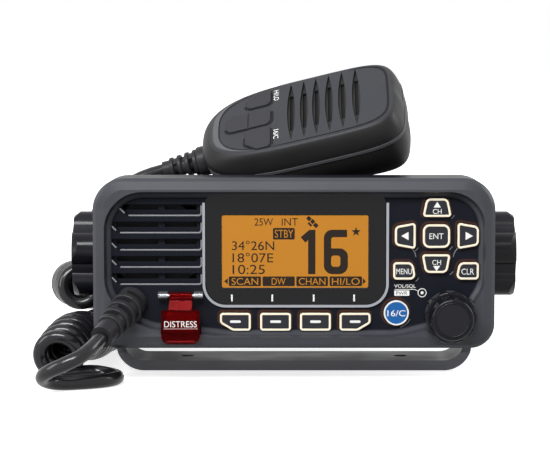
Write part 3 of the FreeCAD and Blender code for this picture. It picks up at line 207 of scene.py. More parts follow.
def panel_material():
    """The front panel's moulding: a satin charcoal rim round a darker, blue-black recessed face."""
    made = surface("panel_plastic", CHARCOAL, 0.36, grain=1900, relief=0.012, wear_and_sheen=0.25)
    tree = made.node_tree
    coords = tree.nodes.new("ShaderNodeTexCoord")
    split = tree.nodes.new("ShaderNodeSeparateXYZ")
    depth = tree.nodes.new("ShaderNodeMapRange")
    depth.inputs["From Min"].default_value = PANEL_ORIGIN.y + RIM_ENDS_Y * MM
    depth.inputs["From Max"].default_value = PANEL_ORIGIN.y + FASCIA_STARTS_Y * MM
    tree.links.new(coords.outputs["Object"], split.inputs["Vector"])
    tree.links.new(split.outputs["Y"], depth.inputs["Value"])
    recolor(made, depth.outputs["Result"], FASCIA_BLACK)
    gloss = tree.nodes.new("ShaderNodeMapRange")
    gloss.inputs["To Min"].default_value = RIM_SHINE
    gloss.inputs["To Max"].default_value = FASCIA_SHINE
    tree.links.new(depth.outputs["Result"], gloss.inputs["Value"])
    shader = tree.nodes["Principled BSDF"]
    tree.links.new(gloss.outputs["Result"], shader.inputs["Specular IOR Level"])
    return made


def mic_material():
    """The microphone's moulding, a little paler and bluer on its face than on its sides."""
    made = surface("mic_plastic", MIC_SIDE_COLOR, 0.44, grain=1700, relief=0.03, wear_and_sheen=0.35)
    tree = made.node_tree
    coords = tree.nodes.new("ShaderNodeTexCoord")
    height = tree.nodes.new("ShaderNodeVectorMath")
    height.operation = "DOT_PRODUCT"
    normal = MIC_TURN.to_3x3() @ Vector((0, 0, 1))
    height.inputs[1].default_value = normal
    face_height = normal.dot(MIC_FRAME @ Vector((0, 0, MIC_FACE)))
    ramp = tree.nodes.new("ShaderNodeMapRange")
    ramp.inputs["From Min"].default_value = face_height - FACE_FADE_FROM * MM
    ramp.inputs["From Max"].default_value = face_height - FACE_FADE_TO * MM
    tree.links.new(coords.outputs["Object"], height.inputs[0])
    tree.links.new(height.outputs["Value"], ramp.inputs["Value"])
    recolor(made, ramp.outputs["Result"], MIC_FACE_COLOR)
    return made


MATERIALS = {
    "panel_plastic": panel_material(),
    # silver paints the highlight along the window's ridge, which is moulded plastic
    "trim_silver": surface("trim_silver", (0.34, 0.35, 0.38), 0.30, 0.85, grain=2200, relief=0.006),
    "lens_black": surface("lens_black", (0.002, 0.002, 0.003), 0.12, grain=40, relief=0.003,
                          mottle=0.05, vary=0.03, Specular_IOR_Level=0.22, Coat_Weight=0.04,
                          Coat_Roughness=0.04),
    "lcd_amber": ink("lcd_amber", (0.37, 0.148, 0.014), 0.28),
    "light_guide": surface("light_guide", (0.75, 0.72, 0.55), 0.35, grain=900),
    "key_silicone": surface("key_silicone", (0.018, 0.019, 0.024), 0.42, grain=2600, relief=0.010),
    "circuit_board": surface("circuit_board", (0.02, 0.14, 0.06), 0.38, grain=700, relief=0.03),
    "mesh_fabric": surface("mesh_fabric", (0.012, 0.012, 0.013), 0.8, grain=3000, relief=0.10),
    "speaker_steel": surface("speaker_steel", (0.16, 0.16, 0.17), 0.4, 0.7),
    "black_rubber": surface("black_rubber", (0.018, 0.018, 0.019), 0.62, grain=1600, relief=0.03),
    "cast_alloy": surface("cast_alloy", (0.026, 0.026, 0.030), 0.48, 0.25, grain=900, relief=0.05),
    "steel": surface("steel", (0.50, 0.50, 0.52), 0.32, 1.0, grain=1500, relief=0.01),
    "brass": surface("brass", (0.70, 0.52, 0.22), 0.30, 1.0, grain=1500, relief=0.01),
    "tinned_steel": surface("tinned_steel", (0.58, 0.58, 0.58), 0.34, 1.0, grain=500, relief=0.02),
    "nickel_brass": surface("nickel_brass", (0.62, 0.60, 0.55), 0.25, 1.0, grain=1200, relief=0.01),
    "key_blue": surface("key_blue", (0.012, 0.105, 0.33), 0.34, grain=2600, relief=0.008),
    "encoder_plastic": surface("encoder_plastic", (0.10, 0.10, 0.11), 0.45),
    "shaft_alloy": surface("shaft_alloy", (0.66, 0.66, 0.68), 0.30, 1.0),
    # the knobs' paler edges stand partly for a painted highlight along their rims
    "knob_plastic": surface("knob_plastic", (0.005, 0.005, 0.008), 0.20, grain=1800,
                            relief=0.006, wear_and_sheen=0.2, Specular_IOR_Level=0.16, Coat_Weight=0.05,
                            Coat_Roughness=0.08),
    "red_plastic": surface("red_plastic", (0.55, 0.015, 0.015), 0.25, grain=900, relief=0.01),
    "clear_plastic": clear_moulding("clear_plastic", (0.85, 0.88, 0.90), (1, 1, 1)),
    "red_clear": clear_moulding("red_clear", (0.32, 0.008, 0.012), (0.30, 0.02, 0.02), 0.10),
    "bracket_alloy": surface("bracket_alloy", (0.100, 0.101, 0.112), 0.42, 0.2, grain=1200,
                             relief=0.03, wear_and_sheen=0.5),
    "boot_rubber": surface("boot_rubber", (0.024, 0.024, 0.027), 0.36, grain=1500, relief=0.02),
    "cord_jacket": surface("cord_jacket", (0.009, 0.009, 0.011), 0.26, grain=1200, relief=0.010,
                           vary=0.04, Coat_Weight=0.4, Coat_Roughness=0.12),
    "mic_plastic": mic_material(),
    "mic_band": surface("mic_band", (0.085, 0.086, 0.092), 0.42, grain=1700, relief=0.02),
    "mic_key_rubber": surface("mic_key_rubber", (0.032, 0.032, 0.036), 0.55, grain=1900,
                              relief=0.03),
}
INK_WHITE = ink("ink_white", (0.80, 0.80, 0.78))
INK_CREAM = ink("ink_cream", (0.80, 0.72, 0.56), 0.12)
INK_DARK = ink("ink_dark", (0.012, 0.007, 0.004), roughness=0.6)

for part in frame["record"]["subparts"]:
    node = NODES[part["node"]]
    node.data.materials.clear()
    node.data.materials.append(MATERIALS[part["material_slot"]])


# ---------------------------------------------------------------- making pieces

def finish_piece(piece, body, material):
    """Hangs a piece on its body and its material."""
    piece.data.materials.clear()
    piece.data.materials.append(material)
    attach(piece, body)


def linked(name, data):
    """A new object in the scene that holds the data."""
    made = bpy.data.objects.new(name, data)
    bpy.context.scene.collection.objects.link(made)
    return made


def as_mesh(source, name, place=Matrix.Identity(4)):
    """A curve or text object turned into a mesh, in its place."""
    graph = bpy.context.evaluated_depsgraph_get()
    graph.update()
    mesh = bpy.data.meshes.new_from_object(source.evaluated_get(graph))
    bpy.data.objects.remove(source)
    mesh.transform(place)
    mesh.name = name
    return linked(name, mesh)


def cutout(name, outlines, depth, bevel, place):
    """A flat piece with its front at 0: closed outlines in mm, inner ones being holes."""
    curve = bpy.data.curves.new(name, "CURVE")
    curve.dimensions = "2D"
    curve.fill_mode = "BOTH"
    curve.extrude = depth / 2 - bevel
    curve.bevel_depth = bevel
    curve.bevel_resolution = 2
    curve.offset = -bevel
    for outline in outlines:
        spline = curve.splines.new("POLY")
        spline.points.add(len(outline) - 1)
        for point, (u, v) in zip(spline.points, outline):
            point.co = (u, v, 0, 1)
        spline.use_cyclic_u = True
    return as_mesh(linked(name, curve), name, place @ Matrix.Translation((0, 0, -depth / 2)))


def lettering(name, words, box, place, lift):
    """Words that fill a box (u0, u1, v0, v1) in mm, raised by lift."""
    data = bpy.data.curves.new(name, "FONT")
    data.body = words
    data.resolution_u = 6
    data.extrude = lift / 2
    source = linked(name, data)
    graph = bpy.context.evaluated_depsgraph_get()
    graph.update()
    mesh = bpy.data.meshes.new_from_object(source.evaluated_get(graph))
    us = [v.co.x for v in mesh.vertices]
    vs = [v.co.y for v in mesh.vertices]
    bpy.data.meshes.remove(mesh)
    u0, u1, v0, v1 = box
    scale = ((u1 - u0) / (max(us) - min(us)), (v1 - v0) / (max(vs) - min(vs)), 1)
    fit = (Matrix.Translation((u0, v0, lift / 2)) @ Matrix.Diagonal((*scale, 1))
           @ Matrix.Translation((-min(us), -min(vs), 0)))
    return as_mesh(source, name, place @ fit)


CIRCLE_STEPS = 48


def circle(u, v, radius):
    """The points of a circle's outline."""
    angles = [2 * math.pi * i / CIRCLE_STEPS for i in range(CIRCLE_STEPS)]
    return [(u + radius * math.cos(angle), v + radius * math.sin(angle)) for angle in angles]


def on_panel(y):
    """The plane of the panel's drawing at depth y: u to the right, v up, out towards the user."""
    return PANEL_FACE @ Matrix.Translation((0, 0, -y))


# ---------------------------------------------------------------- the microphone's cord

CORD_D = 5.5
COIL_RADIUS = 7.55                               # of the line that the cord's middle winds along
COIL_PITCH = 6.0
COIL_START = math.radians(60)
TURN_POINTS = 14
CORD_SMOOTH, COIL_ROUTE_SMOOTH = 4, 16
SAME_POINT = 0.01                                # nearer points of a line count as one
FLOOR_Z = -47.0
CORD_Z = FLOOR_Z + CORD_D / 2
COIL_Z = FLOOR_Z + COIL_RADIUS + CORD_D / 2
BOOT_BASE = Vector((-63.0, FASCIA_Y, -15.0))
BOOT_DIRECTION = Vector((-10.0, -25.5, -11.0)).normalized()
BOOT_LENGTH = 29.5
BOOT_END = BOOT_BASE + BOOT_DIRECTION * BOOT_LENGTH
MIC_BOOT_U, MIC_BOOT_N = -42.5, 1.0              # where the microphone's boot starts
MIC_BOOT_LENGTH, GAP = 19.5, 0.3
MIC_BOOT_TIP = MIC_CENTRE + MIC_TURN.to_3x3() @ Vector((MIC_BOOT_U - MIC_BOOT_LENGTH - GAP, 0,
                                                        MIC_BOOT_N))
MIC_LENGTHWISE = MIC_TURN.to_3x3() @ Vector((1, 0, 0))

LEAD_FRONT = [
    BOOT_END, BOOT_END + BOOT_DIRECTION * 12, (-84.6, -34.9, -34.0), (-92.6, -32.8, -37.5),
    (-96.0, -25.5, -41.4), (-91.0, -18.5, CORD_Z), (-80.0, -15.0, CORD_Z), (-71.5, -10.0, CORD_Z),
    (-68.0, -2.0, CORD_Z), (-71.5, 6.5, CORD_Z), (-80.0, 9.5, -43.4),
]
COIL = [
    (-92.5, -1.0, COIL_Z), (-89.4, 15.0, -31.6), (-86.6, 37.0, -32.4), (-85.0, 60.0, COIL_Z),
    (-83.4, 82.0, COIL_Z), (-75.5, 104.0, COIL_Z + 0.2), (-62.5, 122.0, -35.5),
    (-56.5, 141.0, -33.0), (-65.5, 157.0, -30.5), (-82.5, 161.0, -28.0), (-96.0, 150.0, -25.0),
    (-100.0, 130.0, -21.5), (-96.0, 105.0, -18.4), (-91.0, 80.0, -17.4),
]
LEAD_MIC = [
    (-84.5, 82.5, -8.5), (-88.0, 83.0, 1.0), (-85.5, 79.5, 12.5), (-77.5, 76.0, 21.5),
    MIC_BOOT_TIP - MIC_LENGTHWISE * 10, MIC_BOOT_TIP,
]


def nurbs(name, points, resolution, bevel=0.0):
    """A smooth open curve steered by points of the panel's drawing."""
    curve = bpy.data.curves.new(name, "CURVE")
    curve.dimensions = "3D"
    curve.resolution_u = resolution
    curve.bevel_depth = bevel
    curve.bevel_resolution = 5
    curve.use_fill_caps = True
    spline = curve.splines.new("NURBS")
    spline.points.add(len(points) - 1)
    for point, place in zip(spline.points, points):
        point.co = (*panel_point(*place), 1)
    spline.order_u = 3
    spline.use_endpoint_u = True
    return linked(name, curve)


def line_of(name, points, resolution):
    """The points along such a curve, in the row frame."""
    mesh_object = as_mesh(nurbs(name, points, resolution), name)
    line = []
    for vertex in mesh_object.data.vertices:
        if not line or (vertex.co - line[-1]).length > SAME_POINT * MM:
            line.append(vertex.co.copy())
    bpy.data.objects.remove(mesh_object)
    return line


def helix(route, first_angle, last_side):
    """Turns wound round a route, from an angle at its start to a given side at its end."""
    line = [(p - PANEL_ORIGIN) / MM for p in line_of("coil_route", route, COIL_ROUTE_SMOOTH)]
    reach = [0.0]
    for a, b in zip(line, line[1:]):
        reach.append(reach[-1] + (b - a).length)
    heading = (line[1] - line[0]).normalized()
    side = (Vector((1, 0, 0)) - heading * heading.x).normalized()
    sides = []
    for a, b in zip(line, line[1:] + [2 * line[-1] - line[-2]]):
        heading = (b - a).normalized()
        side = (side - heading * side.dot(heading)).normalized()
        sides.append((side, heading.cross(side)))
    end_angle = math.atan2(last_side.dot(sides[-1][1]), last_side.dot(sides[-1][0]))
    turns = round(reach[-1] / COIL_PITCH)
    sweep = 2 * math.pi * turns + (end_angle - first_angle) % (2 * math.pi)
    steps = round(sweep / (2 * math.pi) * TURN_POINTS)
    points, k = [], 0
    for i in range(steps + 1):
        along = reach[-1] * i / steps
        while k < len(line) - 2 and reach[k + 1] < along:
            k += 1
        share = (along - reach[k]) / (reach[k + 1] - reach[k])
        centre = line[k].lerp(line[k + 1], share)
        angle = first_angle + sweep * i / steps
        across, up = sides[k]
        points.append(centre + (across * math.cos(angle) + up * math.sin(angle)) * COIL_RADIUS)
    return points


def microphone_cord():
    """The curly cord, one smooth line from the panel's boot to the microphone's boot."""
    turns = helix(COIL, COIL_START, Vector((1, 0, 0)))
    route = LEAD_FRONT + turns + LEAD_MIC
    source = nurbs("microphone_cord", route, CORD_SMOOTH, CORD_D / 2 * MM)
    cord = as_mesh(source, "microphone_cord")
    for face in cord.data.polygons:
        face.use_smooth = True
    cord.data.materials.clear()
    cord.data.materials.append(MATERIALS["cord_jacket"])
    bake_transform(cord)
    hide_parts("cord_lead_front", "cord_coil", "cord_lead_mic")
    line_of("cord_line", route, 4)


microphone_cord()


# ---------------------------------------------------------------- outlines of several pieces

LEAST_RADIUS = 0.15


def offset(corners, by):
    """A (u, v, radius) outline moved outwards by a distance, or inwards where it is negative."""
    moved = []
    for i, (u, v, radius) in enumerate(corners):
        normals = []
        for a, b in ((corners[i - 1], corners[i]), (corners[i], corners[(i + 1) % len(corners)])):
            length = math.hypot(b[0] - a[0], b[1] - a[1])
            normals.append(((b[1] - a[1]) / length, -(b[0] - a[0]) / length))
        (au, av), (bu, bv) = normals
        scale = by / (1 + au * bu + av * bv)
        moved.append((u + (au + bu) * scale, v + (av + bv) * scale,
                      max(radius + by, LEAST_RADIUS)))
    return moved


def rounded_off(corners, steps=6):
    """The points of an anticlockwise outline whose corners are arcs of their own radius."""
    points = []
    for i, (u, v, radius) in enumerate(corners):
        here = Vector((u, v))
        back = (Vector(corners[i - 1][:2]) - here).normalized()
        ahead = (Vector(corners[(i + 1) % len(corners)][:2]) - here).normalized()
        half = math.acos(max(-1, min(1, back.dot(ahead)))) / 2
        centre = here + (back + ahead).normalized() * (radius / math.sin(half))
        start = here + back * (radius / math.tan(half)) - centre
        end = here + ahead * (radius / math.tan(half)) - centre
        turn = math.atan2(start.x * end.y - start.y * end.x, start.dot(end))
        for k in range(steps + 1):
            angle = turn * k / steps
            points.append((centre.x + start.x * math.cos(angle) - start.y * math.sin(angle),
                           centre.y + start.x * math.sin(angle) + start.y * math.cos(angle)))
    return points


def block(u0, u1, v0, v1, radius=0.2):
    """The (u, v, radius) outline of a rectangle."""
    return [(u0, v0, radius), (u1, v0, radius), (u1, v1, radius), (u0, v1, radius)]


def stroke(name, points, radius, place, flat=1.0):
    """A thin round bead along points in mm, flattened across its plane where flat is under 1."""
    curve = bpy.data.curves.new(name, "CURVE")
    curve.dimensions = "3D"
    curve.bevel_depth = radius
    curve.bevel_resolution = 3
    curve.use_fill_caps = True
    spline = curve.splines.new("POLY")
    spline.points.add(len(points) - 1)
    for point, (u, v) in zip(spline.points, points):
        point.co = (u, v, 0, 1)
    return as_mesh(linked(name, curve), name, place @ Matrix.Diagonal((1, 1, flat, 1)))


def arc(u, v, radius, start, end, steps=12):
    """Points along an arc between two angles in degrees."""
    angles = [math.radians(start + (end - start) * k / steps) for k in range(steps + 1)]
    return [(u + radius * math.cos(angle), v + radius * math.sin(angle)) for angle in angles]


# ---------------------------------------------------------------- display window

LENS = [(-34.5, -16.3, 7.9), (35.8, -16.3, 7.9), (35.8, 27.0, 3.4), (-34.5, 27.0, 3.4)]
LCD = (-28.2, 29.0, -9.8, 18.6)
LENS_Y, LENS_T, LENS_BEVEL = 4.3, 1.7, 0.12
LCD_Y, LCD_T, LCD_TUCK = 4.55, 0.5, 0.4          # the display goes on a little behind the window
TICK_X, TICK_HALF = (-24.3, -8.5, 7.7, 23.5), 0.32
TICK_LOW, TICK_HIGH = -15.2, -12.5
STAR_CENTRE, STAR_TIP, STAR_NOTCH = Vector((24.2, 12.1)), 1.9, 0.78
INK_LIFT = 0.03


def inked(name, words, box, y, material=None, body="radio"):
    """Words at depth y, in dark ink unless a material is given."""
    piece = lettering(name, words, box, on_panel(y), INK_LIFT)
    finish_piece(piece, body, material or INK_DARK)


def printed(name, outlines, y, material=None, body="radio"):
    """A printed shape at depth y, in dark ink unless a material is given. The keys' painted glow
    is laid the same way.
    """
    piece = cutout(name, outlines, INK_LIFT, 0.0, on_panel(y - INK_LIFT))
    finish_piece(piece, body, material or INK_DARK)


def display_window():
    """The gloss black window with its opening, the lit ground behind it, and the ticks over the
    soft keys."""
    outlines = [rounded_off(LENS, 10), rounded_off(block(*LCD, 0.7))]
    window = cutout("display_window", outlines, LENS_T, LENS_BEVEL, on_panel(LENS_Y))
    finish_piece(window, "radio", MATERIALS["lens_black"])
    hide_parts("window_lens")
    left, right, low, high = LCD
    wider = block(left - LCD_TUCK, right + LCD_TUCK, low - LCD_TUCK, high + LCD_TUCK)
    ground = cutout("lcd_ground", [rounded_off(wider)], LCD_T, 0.0, on_panel(LCD_Y))
    finish_piece(ground, "radio", MATERIALS["lcd_amber"])
    for number, x in enumerate(TICK_X):
        tick = rounded_off(block(x - TICK_HALF, x + TICK_HALF, TICK_LOW, TICK_HIGH, 0.1))
        printed("window_tick_%d" % number, [tick], LENS_Y, INK_WHITE)


def big_digits():
    """The channel number, drawn as the display's heavy rounded digits, and the star beside it."""
    one = [(5.5, -4.5), (8.35, -4.5), (8.35, 12.9), (6.0, 12.9), (2.6, 10.0), (4.4, 7.9),
           (5.5, 8.9)]
    printed("lcd_one", [one], LCD_Y)
    body = [(11.65, -4.5, 3.4), (21.05, -4.5, 3.4), (21.05, 5.6, 3.2), (14.5, 5.6, 0.3),
            (14.5, 10.0, 1.0), (20.7, 10.0, 0.2), (20.7, 12.9, 0.3), (11.65, 12.9, 3.2)]
    printed("lcd_six", [rounded_off(body), rounded_off(block(14.5, 18.1, -1.6, 2.8, 1.1))], LCD_Y)
    star = []
    for k in range(10):
        reach = STAR_NOTCH if k % 2 else STAR_TIP
        angle = math.radians(90 + 36 * k)
        star.append((STAR_CENTRE.x + reach * math.cos(angle),
                     STAR_CENTRE.y + reach * math.sin(angle)))
    printed("lcd_star", [star], LCD_Y)


def satellite_icon():
    """Body, two panels and a dish, drawn on the slant."""
    slant = Matrix.Translation((7.15, 15.95, 0)) @ Matrix.Rotation(math.radians(-45), 4, "Z")
    shapes = {"panel_a": (-2.7, -1.05, -0.75, 0.75), "panel_b": (1.05, 2.7, -0.75, 0.75),
              "hull": (-0.75, 0.75, -0.55, 0.95), "dish": (-0.9, 0.9, -1.75, -0.95)}
    for name, (u0, u1, v0, v1) in shapes.items():
        corners = [slant @ Vector((u, v, 0)) for u, v in ((u0, v0), (u1, v0), (u1, v1), (u0, v1))]
        printed("lcd_satellite_" + name, [[(p.x, p.y) for p in corners]], LCD_Y)


def display_picture():
    """What the display shows: power, mode, position, time, channel and the soft keys' words."""
    inked("lcd_power", "25W", (-15.4, -8.2, 14.5, 17.4), LCD_Y)
    inked("lcd_mode", "INT", (-4.8, 1.5, 14.5, 17.4), LCD_Y)
    inked("lcd_latitude", "34°26N", (-24.2, -7.7, 4.9, 8.6), LCD_Y)
    inked("lcd_longitude", "18°07E", (-24.0, -8.1, 0.1, 3.9), LCD_Y)
    inked("lcd_time", "10:25", (-24.0, -11.4, -4.5, -0.8), LCD_Y)
    printed("lcd_badge", [rounded_off(block(-8.2, 0.3, 9.1, 13.6, 0.5))], LCD_Y)
    inked("lcd_standby", "STBY", (-7.5, -0.3, 9.8, 12.9), LCD_Y - INK_LIFT, MATERIALS["lcd_amber"])
    labels = (("SCAN", -25.5, -12.9, 1.1), ("DW", -12.3, 0.3, 3.6), ("CHAN", 0.9, 13.3, 1.0),
              ("HI/LO", 13.9, 26.6, 0.9))
    for number, (word, u0, u1, margin) in enumerate(labels, 1):
        printed("lcd_label_%d" % number, [rounded_off(block(u0, u1, -9.2, -5.4, 0.5))], LCD_Y)
        inked("lcd_word_%d" % number, word, (u0 + margin, u1 - margin, -8.7, -6.0),
              LCD_Y - INK_LIFT, MATERIALS["lcd_amber"])
    printed("lcd_arrow_left", [[(-27.3, -7.3), (-25.9, -8.5), (-25.9, -6.1)]], LCD_Y)
    printed("lcd_arrow_right", [[(28.1, -7.3), (26.9, -6.1), (26.9, -8.5)]], LCD_Y)
    big_digits()
    satellite_icon()


# ---------------------------------------------------------------- keys

SOFT_KEY_X = (-22.9, -7.2, 8.4, 23.9)
SOFT_W, SOFT_LOW, SOFT_HIGH = 12.1, -26.6, -19.6
KEYS = {
    "key_up": [(50.0, 18.0, 1.2), (61.4, 18.0, 1.2), (59.9, 25.2, 2.2), (51.5, 25.2, 2.2)],
    "key_down": [(51.2, -3.9, 2.2), (59.7, -3.9, 2.2), (61.1, 3.4, 1.2), (49.8, 3.4, 1.2)],
    "key_left": [(39.3, 6.9, 2.0), (47.4, 5.4, 1.2), (47.4, 15.8, 1.2), (39.3, 14.3, 2.0)],
    "key_right": [(63.7, 5.4, 1.2), (72.0, 6.9, 2.0), (72.0, 14.3, 2.0), (63.7, 15.8, 1.2)],
    "key_enter": block(50.2, 60.8, 5.9, 15.1, 2.6),
    "key_menu": [(38.7, -6.5, 1.4), (47.7, -6.5, 2.0), (46.4, 0.3, 2.4), (38.7, 0.3, 1.4)],
    "key_clear": [(63.0, -6.5, 2.0), (72.1, -6.5, 1.4), (72.1, 0.3, 1.4), (64.4, 0.3, 2.4)],
}
ROUND_KEY = (40.0, -19.6, 4.9)
RING_OUT, RING_W, RING_T, RING_BEVEL, RING_LIFT = 0.02, 0.85, 0.5, 0.16, 0.08
ROUND_RING_OUT, ROUND_RING_W = 0.03, 0.62
GLOW_GAP, GLOW_W, ROUND_GLOW_W = 0.25, 0.85, 1.0
GLOW_U, GLOW_V = -0.25, 0.3                      # the painted glow is wider towards the upper left
GLINT_RADIUS, ROUND_GLINT_RADIUS, GLINT_FLAT = 0.13, 0.16, 0.5
CUT_U, CUT_V = 5, 3


def soft_key(index):
    """The outer two soft keys have one lower corner cut back."""
    left, right = SOFT_KEY_X[index] - SOFT_W / 2, SOFT_KEY_X[index] + SOFT_W / 2
    top = [(right, SOFT_HIGH, 1.2), (left, SOFT_HIGH, 1.2)]
    if index == 0:
        return [(left, SOFT_LOW + CUT_V, 1.6), (left + CUT_U, SOFT_LOW, 2.6),
                (right, SOFT_LOW, 1.2)] + top
    if index == 3:
        return [(left, SOFT_LOW, 1.2), (right - CUT_U, SOFT_LOW, 2.6),
                (right, SOFT_LOW + CUT_V, 1.6)] + top
    return [(left, SOFT_LOW, 1.2), (right, SOFT_LOW, 1.2)] + top


for number in range(len(SOFT_KEY_X)):
    KEYS["key_soft_%d" % (number + 1)] = soft_key(number)

# painted reflection of the lit keys in the upper-left bevels of their openings, glowing faintly
PAINTED_KEY_GLOW = ink("painted_key_glow", (0.034, 0.012, 0.007), 0.08, 0.6)
# pale grey for painted highlights: glints by the keys, on the creases and on the louvres' slants
HIGHLIGHT_GREY = surface("painted_highlight_grey", (0.22, 0.22, 0.23), 0.35, 0.4, grain=2600, relief=0.004)


def key_ring(name, outer, inner, material):
    """The pale raised outline of a key."""
    ring = cutout(name + "_ring", [outer, inner], RING_T, RING_BEVEL, on_panel(KEY_Y - RING_LIFT))
    finish_piece(ring, name + "_body", material)


def dress_keys():
    """The ring on each key, and on the panel round it a dim painted glow and a painted highlight.
    """
    for name, corners in KEYS.items():
        key_ring(name, rounded_off(offset(corners, RING_OUT)),
                 rounded_off(offset(corners, -RING_W)), INK_CREAM)
        # painted glow round the key's opening, shifted to the upper left
        shifted = [(u + GLOW_U, v + GLOW_V, r) for u, v, r in offset(corners, GLOW_W)]
        printed(name + "_glow", [rounded_off(shifted), rounded_off(offset(corners, GLOW_GAP))],
                FASCIA_Y, PAINTED_KEY_GLOW)
        # a painted highlight on the lower right edge of each key's opening
        u, v = max(c[0] for c in corners), min(c[1] for c in corners)
        glint = stroke(name + "_glint", arc(u - 1.4, v + 1.5, 2.6, -62, -22), GLINT_RADIUS,
                       on_panel(FASCIA_Y), GLINT_FLAT)
        finish_piece(glint, "radio", HIGHLIGHT_GREY)
    x, z, radius = ROUND_KEY
    key_ring("key_16", circle(x, z, radius + ROUND_RING_OUT), circle(x, z, radius - ROUND_RING_W),
             INK_WHITE)
    glow = [circle(x + GLOW_U, z + GLOW_V, radius + ROUND_GLOW_W), circle(x, z, radius + GLOW_GAP)]
    printed("key_16_glow", glow, FASCIA_Y, PAINTED_KEY_GLOW)
    glint = stroke("key_16_glint", arc(x, z, radius + 1.1, -75, -25), ROUND_GLINT_RADIUS,
                   on_panel(FASCIA_Y), GLINT_FLAT)
    finish_piece(glint, "radio", HIGHLIGHT_GREY)


DASH_HALF, DASH_Z = 2.1, (-23.5, -22.5)


def key_legends():
    """Words and arrows on the keys, each riding on its key."""
    words = {
        "key_up": ("CH", (54.0, 57.4, 19.2, 21.1)),
        "key_down": ("CH", (53.9, 57.3, -0.7, 1.2)),
        "key_enter": ("ENT", (52.7, 58.2, 9.4, 11.6)),
        "key_menu": ("MENU", (39.9, 45.9, -4.4, -2.2)),
        "key_clear": ("CLR", (65.3, 70.2, -4.5, -2.2)),
        "key_16": ("16/C", (36.5, 43.5, -20.9, -18.5)),
    }
    for key, (word, box) in words.items():
        inked(key + "_word", word, box, KEY_Y, INK_WHITE, key + "_body")
    arrows = {
        "key_up": [(54.3, 21.7), (57.1, 21.7), (55.7, 23.9)],
        "key_down": [(54.2, -1.1), (55.6, -3.2), (57.0, -1.1)],
        "key_left": [(41.7, 10.6), (44.6, 9.0), (44.6, 12.2)],
        "key_right": [(66.8, 9.0), (69.7, 10.6), (66.8, 12.2)],
    }
    for key, triangle in arrows.items():
        printed(key + "_arrow", [triangle], KEY_Y, INK_WHITE, key + "_body")
    for index, x in enumerate(SOFT_KEY_X):
        key = "key_soft_%d" % (index + 1)
        dash = rounded_off(block(x - DASH_HALF, x + DASH_HALF, *DASH_Z, 0.45))
        printed(key + "_dash", [dash], KEY_Y, INK_WHITE, key + "_body")


TURN_SYMBOL = (50.1, -11.8)
LEADER_RADIUS, LEADER_FLAT = 0.12, 0.3
CREASE_RADIUS, CREASE_FLAT = 0.16, 0.6


def fascia_legends():
    """The knob's words and turn-and-push symbol, and painted highlights on the keypad's creases."""
    inked("legend_volume", "VOL/SQL", (39.2, 47.6, -10.1, -8.5), FASCIA_Y, INK_WHITE)
    printed("legend_power_box", [rounded_off(block(39.2, 45.1, -13.0, -10.9, 0.3))], FASCIA_Y,
            INK_WHITE)
    inked("legend_power", "PWR", (40.0, 44.3, -12.6, -11.3), FASCIA_Y - INK_LIFT,
          MATERIALS["lens_black"])
    x, z = TURN_SYMBOL
    printed("legend_turn_ring", [circle(x, z, 1.75), circle(x, z, 1.45)], FASCIA_Y, INK_WHITE)
    printed("legend_turn_dot", [circle(x, z, 0.6)], FASCIA_Y, INK_WHITE)
    leader = stroke("legend_leader", [(39.3, -10.5), (47.2, -10.5), (48.6, -11.2)],
                    LEADER_RADIUS, on_panel(FASCIA_Y), LEADER_FLAT)
    finish_piece(leader, "radio", INK_WHITE)
    # painted highlights along the creases beside the keypad
    for name, bend in (("crease_left_highlight", arc(42.6, 1.8, 5.0, 50, 5)),
                       ("crease_right_highlight", arc(67.2, 1.8, 5.0, 130, 175))):
        crease = stroke(name, bend, CREASE_RADIUS, on_panel(FASCIA_Y), CREASE_FLAT)
        finish_piece(crease, "radio", HIGHLIGHT_GREY)


# ---------------------------------------------------------------- loudspeaker grille

LOUVRE_PITCH, LOUVRE_TOP, LOUVRE_COUNT, LOUVRE_H = 6.74, 22.9, 5, 3.9
LOUVRE_LEFT, LOUVRE_RIGHT = -71.8, -36.7
TOP_ROW_INSET = 3.4
LIP_RADIUS, LIP_FLAT, LIP_SINK = 0.36, 0.7, 0.02
LIP_BELOW, LIP_BEYOND, LIP_BEND = 0.55, 0.6, 1.1
# pale grey paints the highlight on the louvres' lips, which are the panel's own plastic
LIP_HIGHLIGHT = surface("painted_lip_highlight", (0.17, 0.17, 0.18), 0.5, 0.1, grain=2600, relief=0.004)


def louvre_lips():
    """A fine rounded lip along each louvre's lower edge and right end, and on its slant, in a pale
    grey that paints their highlight.
    """
    for row in range(LOUVRE_COUNT):
        top = LOUVRE_TOP - row * LOUVRE_PITCH
        left = LOUVRE_LEFT + (TOP_ROW_INSET if row == 0 else 0.0)
        low = top - LOUVRE_H - LIP_BELOW
        end = LOUVRE_RIGHT + LIP_BEYOND
        lip = [(left + 4.0, low), (end - LIP_BEND, low),
               *arc(end - LIP_BEND, low + LIP_BEND, LIP_BEND, -90, 0, 5), (end, top - 0.5)]
        slant = [(left - 0.3, top - 0.9), (left + 2.4, low + 0.9)]
        for name, path, material in (("louvre_lip_%d" % row, lip, LIP_HIGHLIGHT),
                                     ("louvre_slant_%d" % row, slant, HIGHLIGHT_GREY)):
            bead = stroke(name, path, LIP_RADIUS, on_panel(FASCIA_Y + LIP_SINK), LIP_FLAT)
            finish_piece(bead, "radio", material)


# ---------------------------------------------------------------- distress cover

COVER_Y = -2.9


def distress_details():
    """The word and the line on the clear red cover."""
    inked("distress_word", "DISTRESS", (-50.4, -37.7, -24.5, -22.1), COVER_Y, INK_WHITE,
          "distress_flap")
    printed("distress_line", [rounded_off(block(-50.6, -37.5, -25.3, -25.05, 0.1))], COVER_Y,
            INK_WHITE, "distress_flap")


# ---------------------------------------------------------------- volume knob and antenna socket

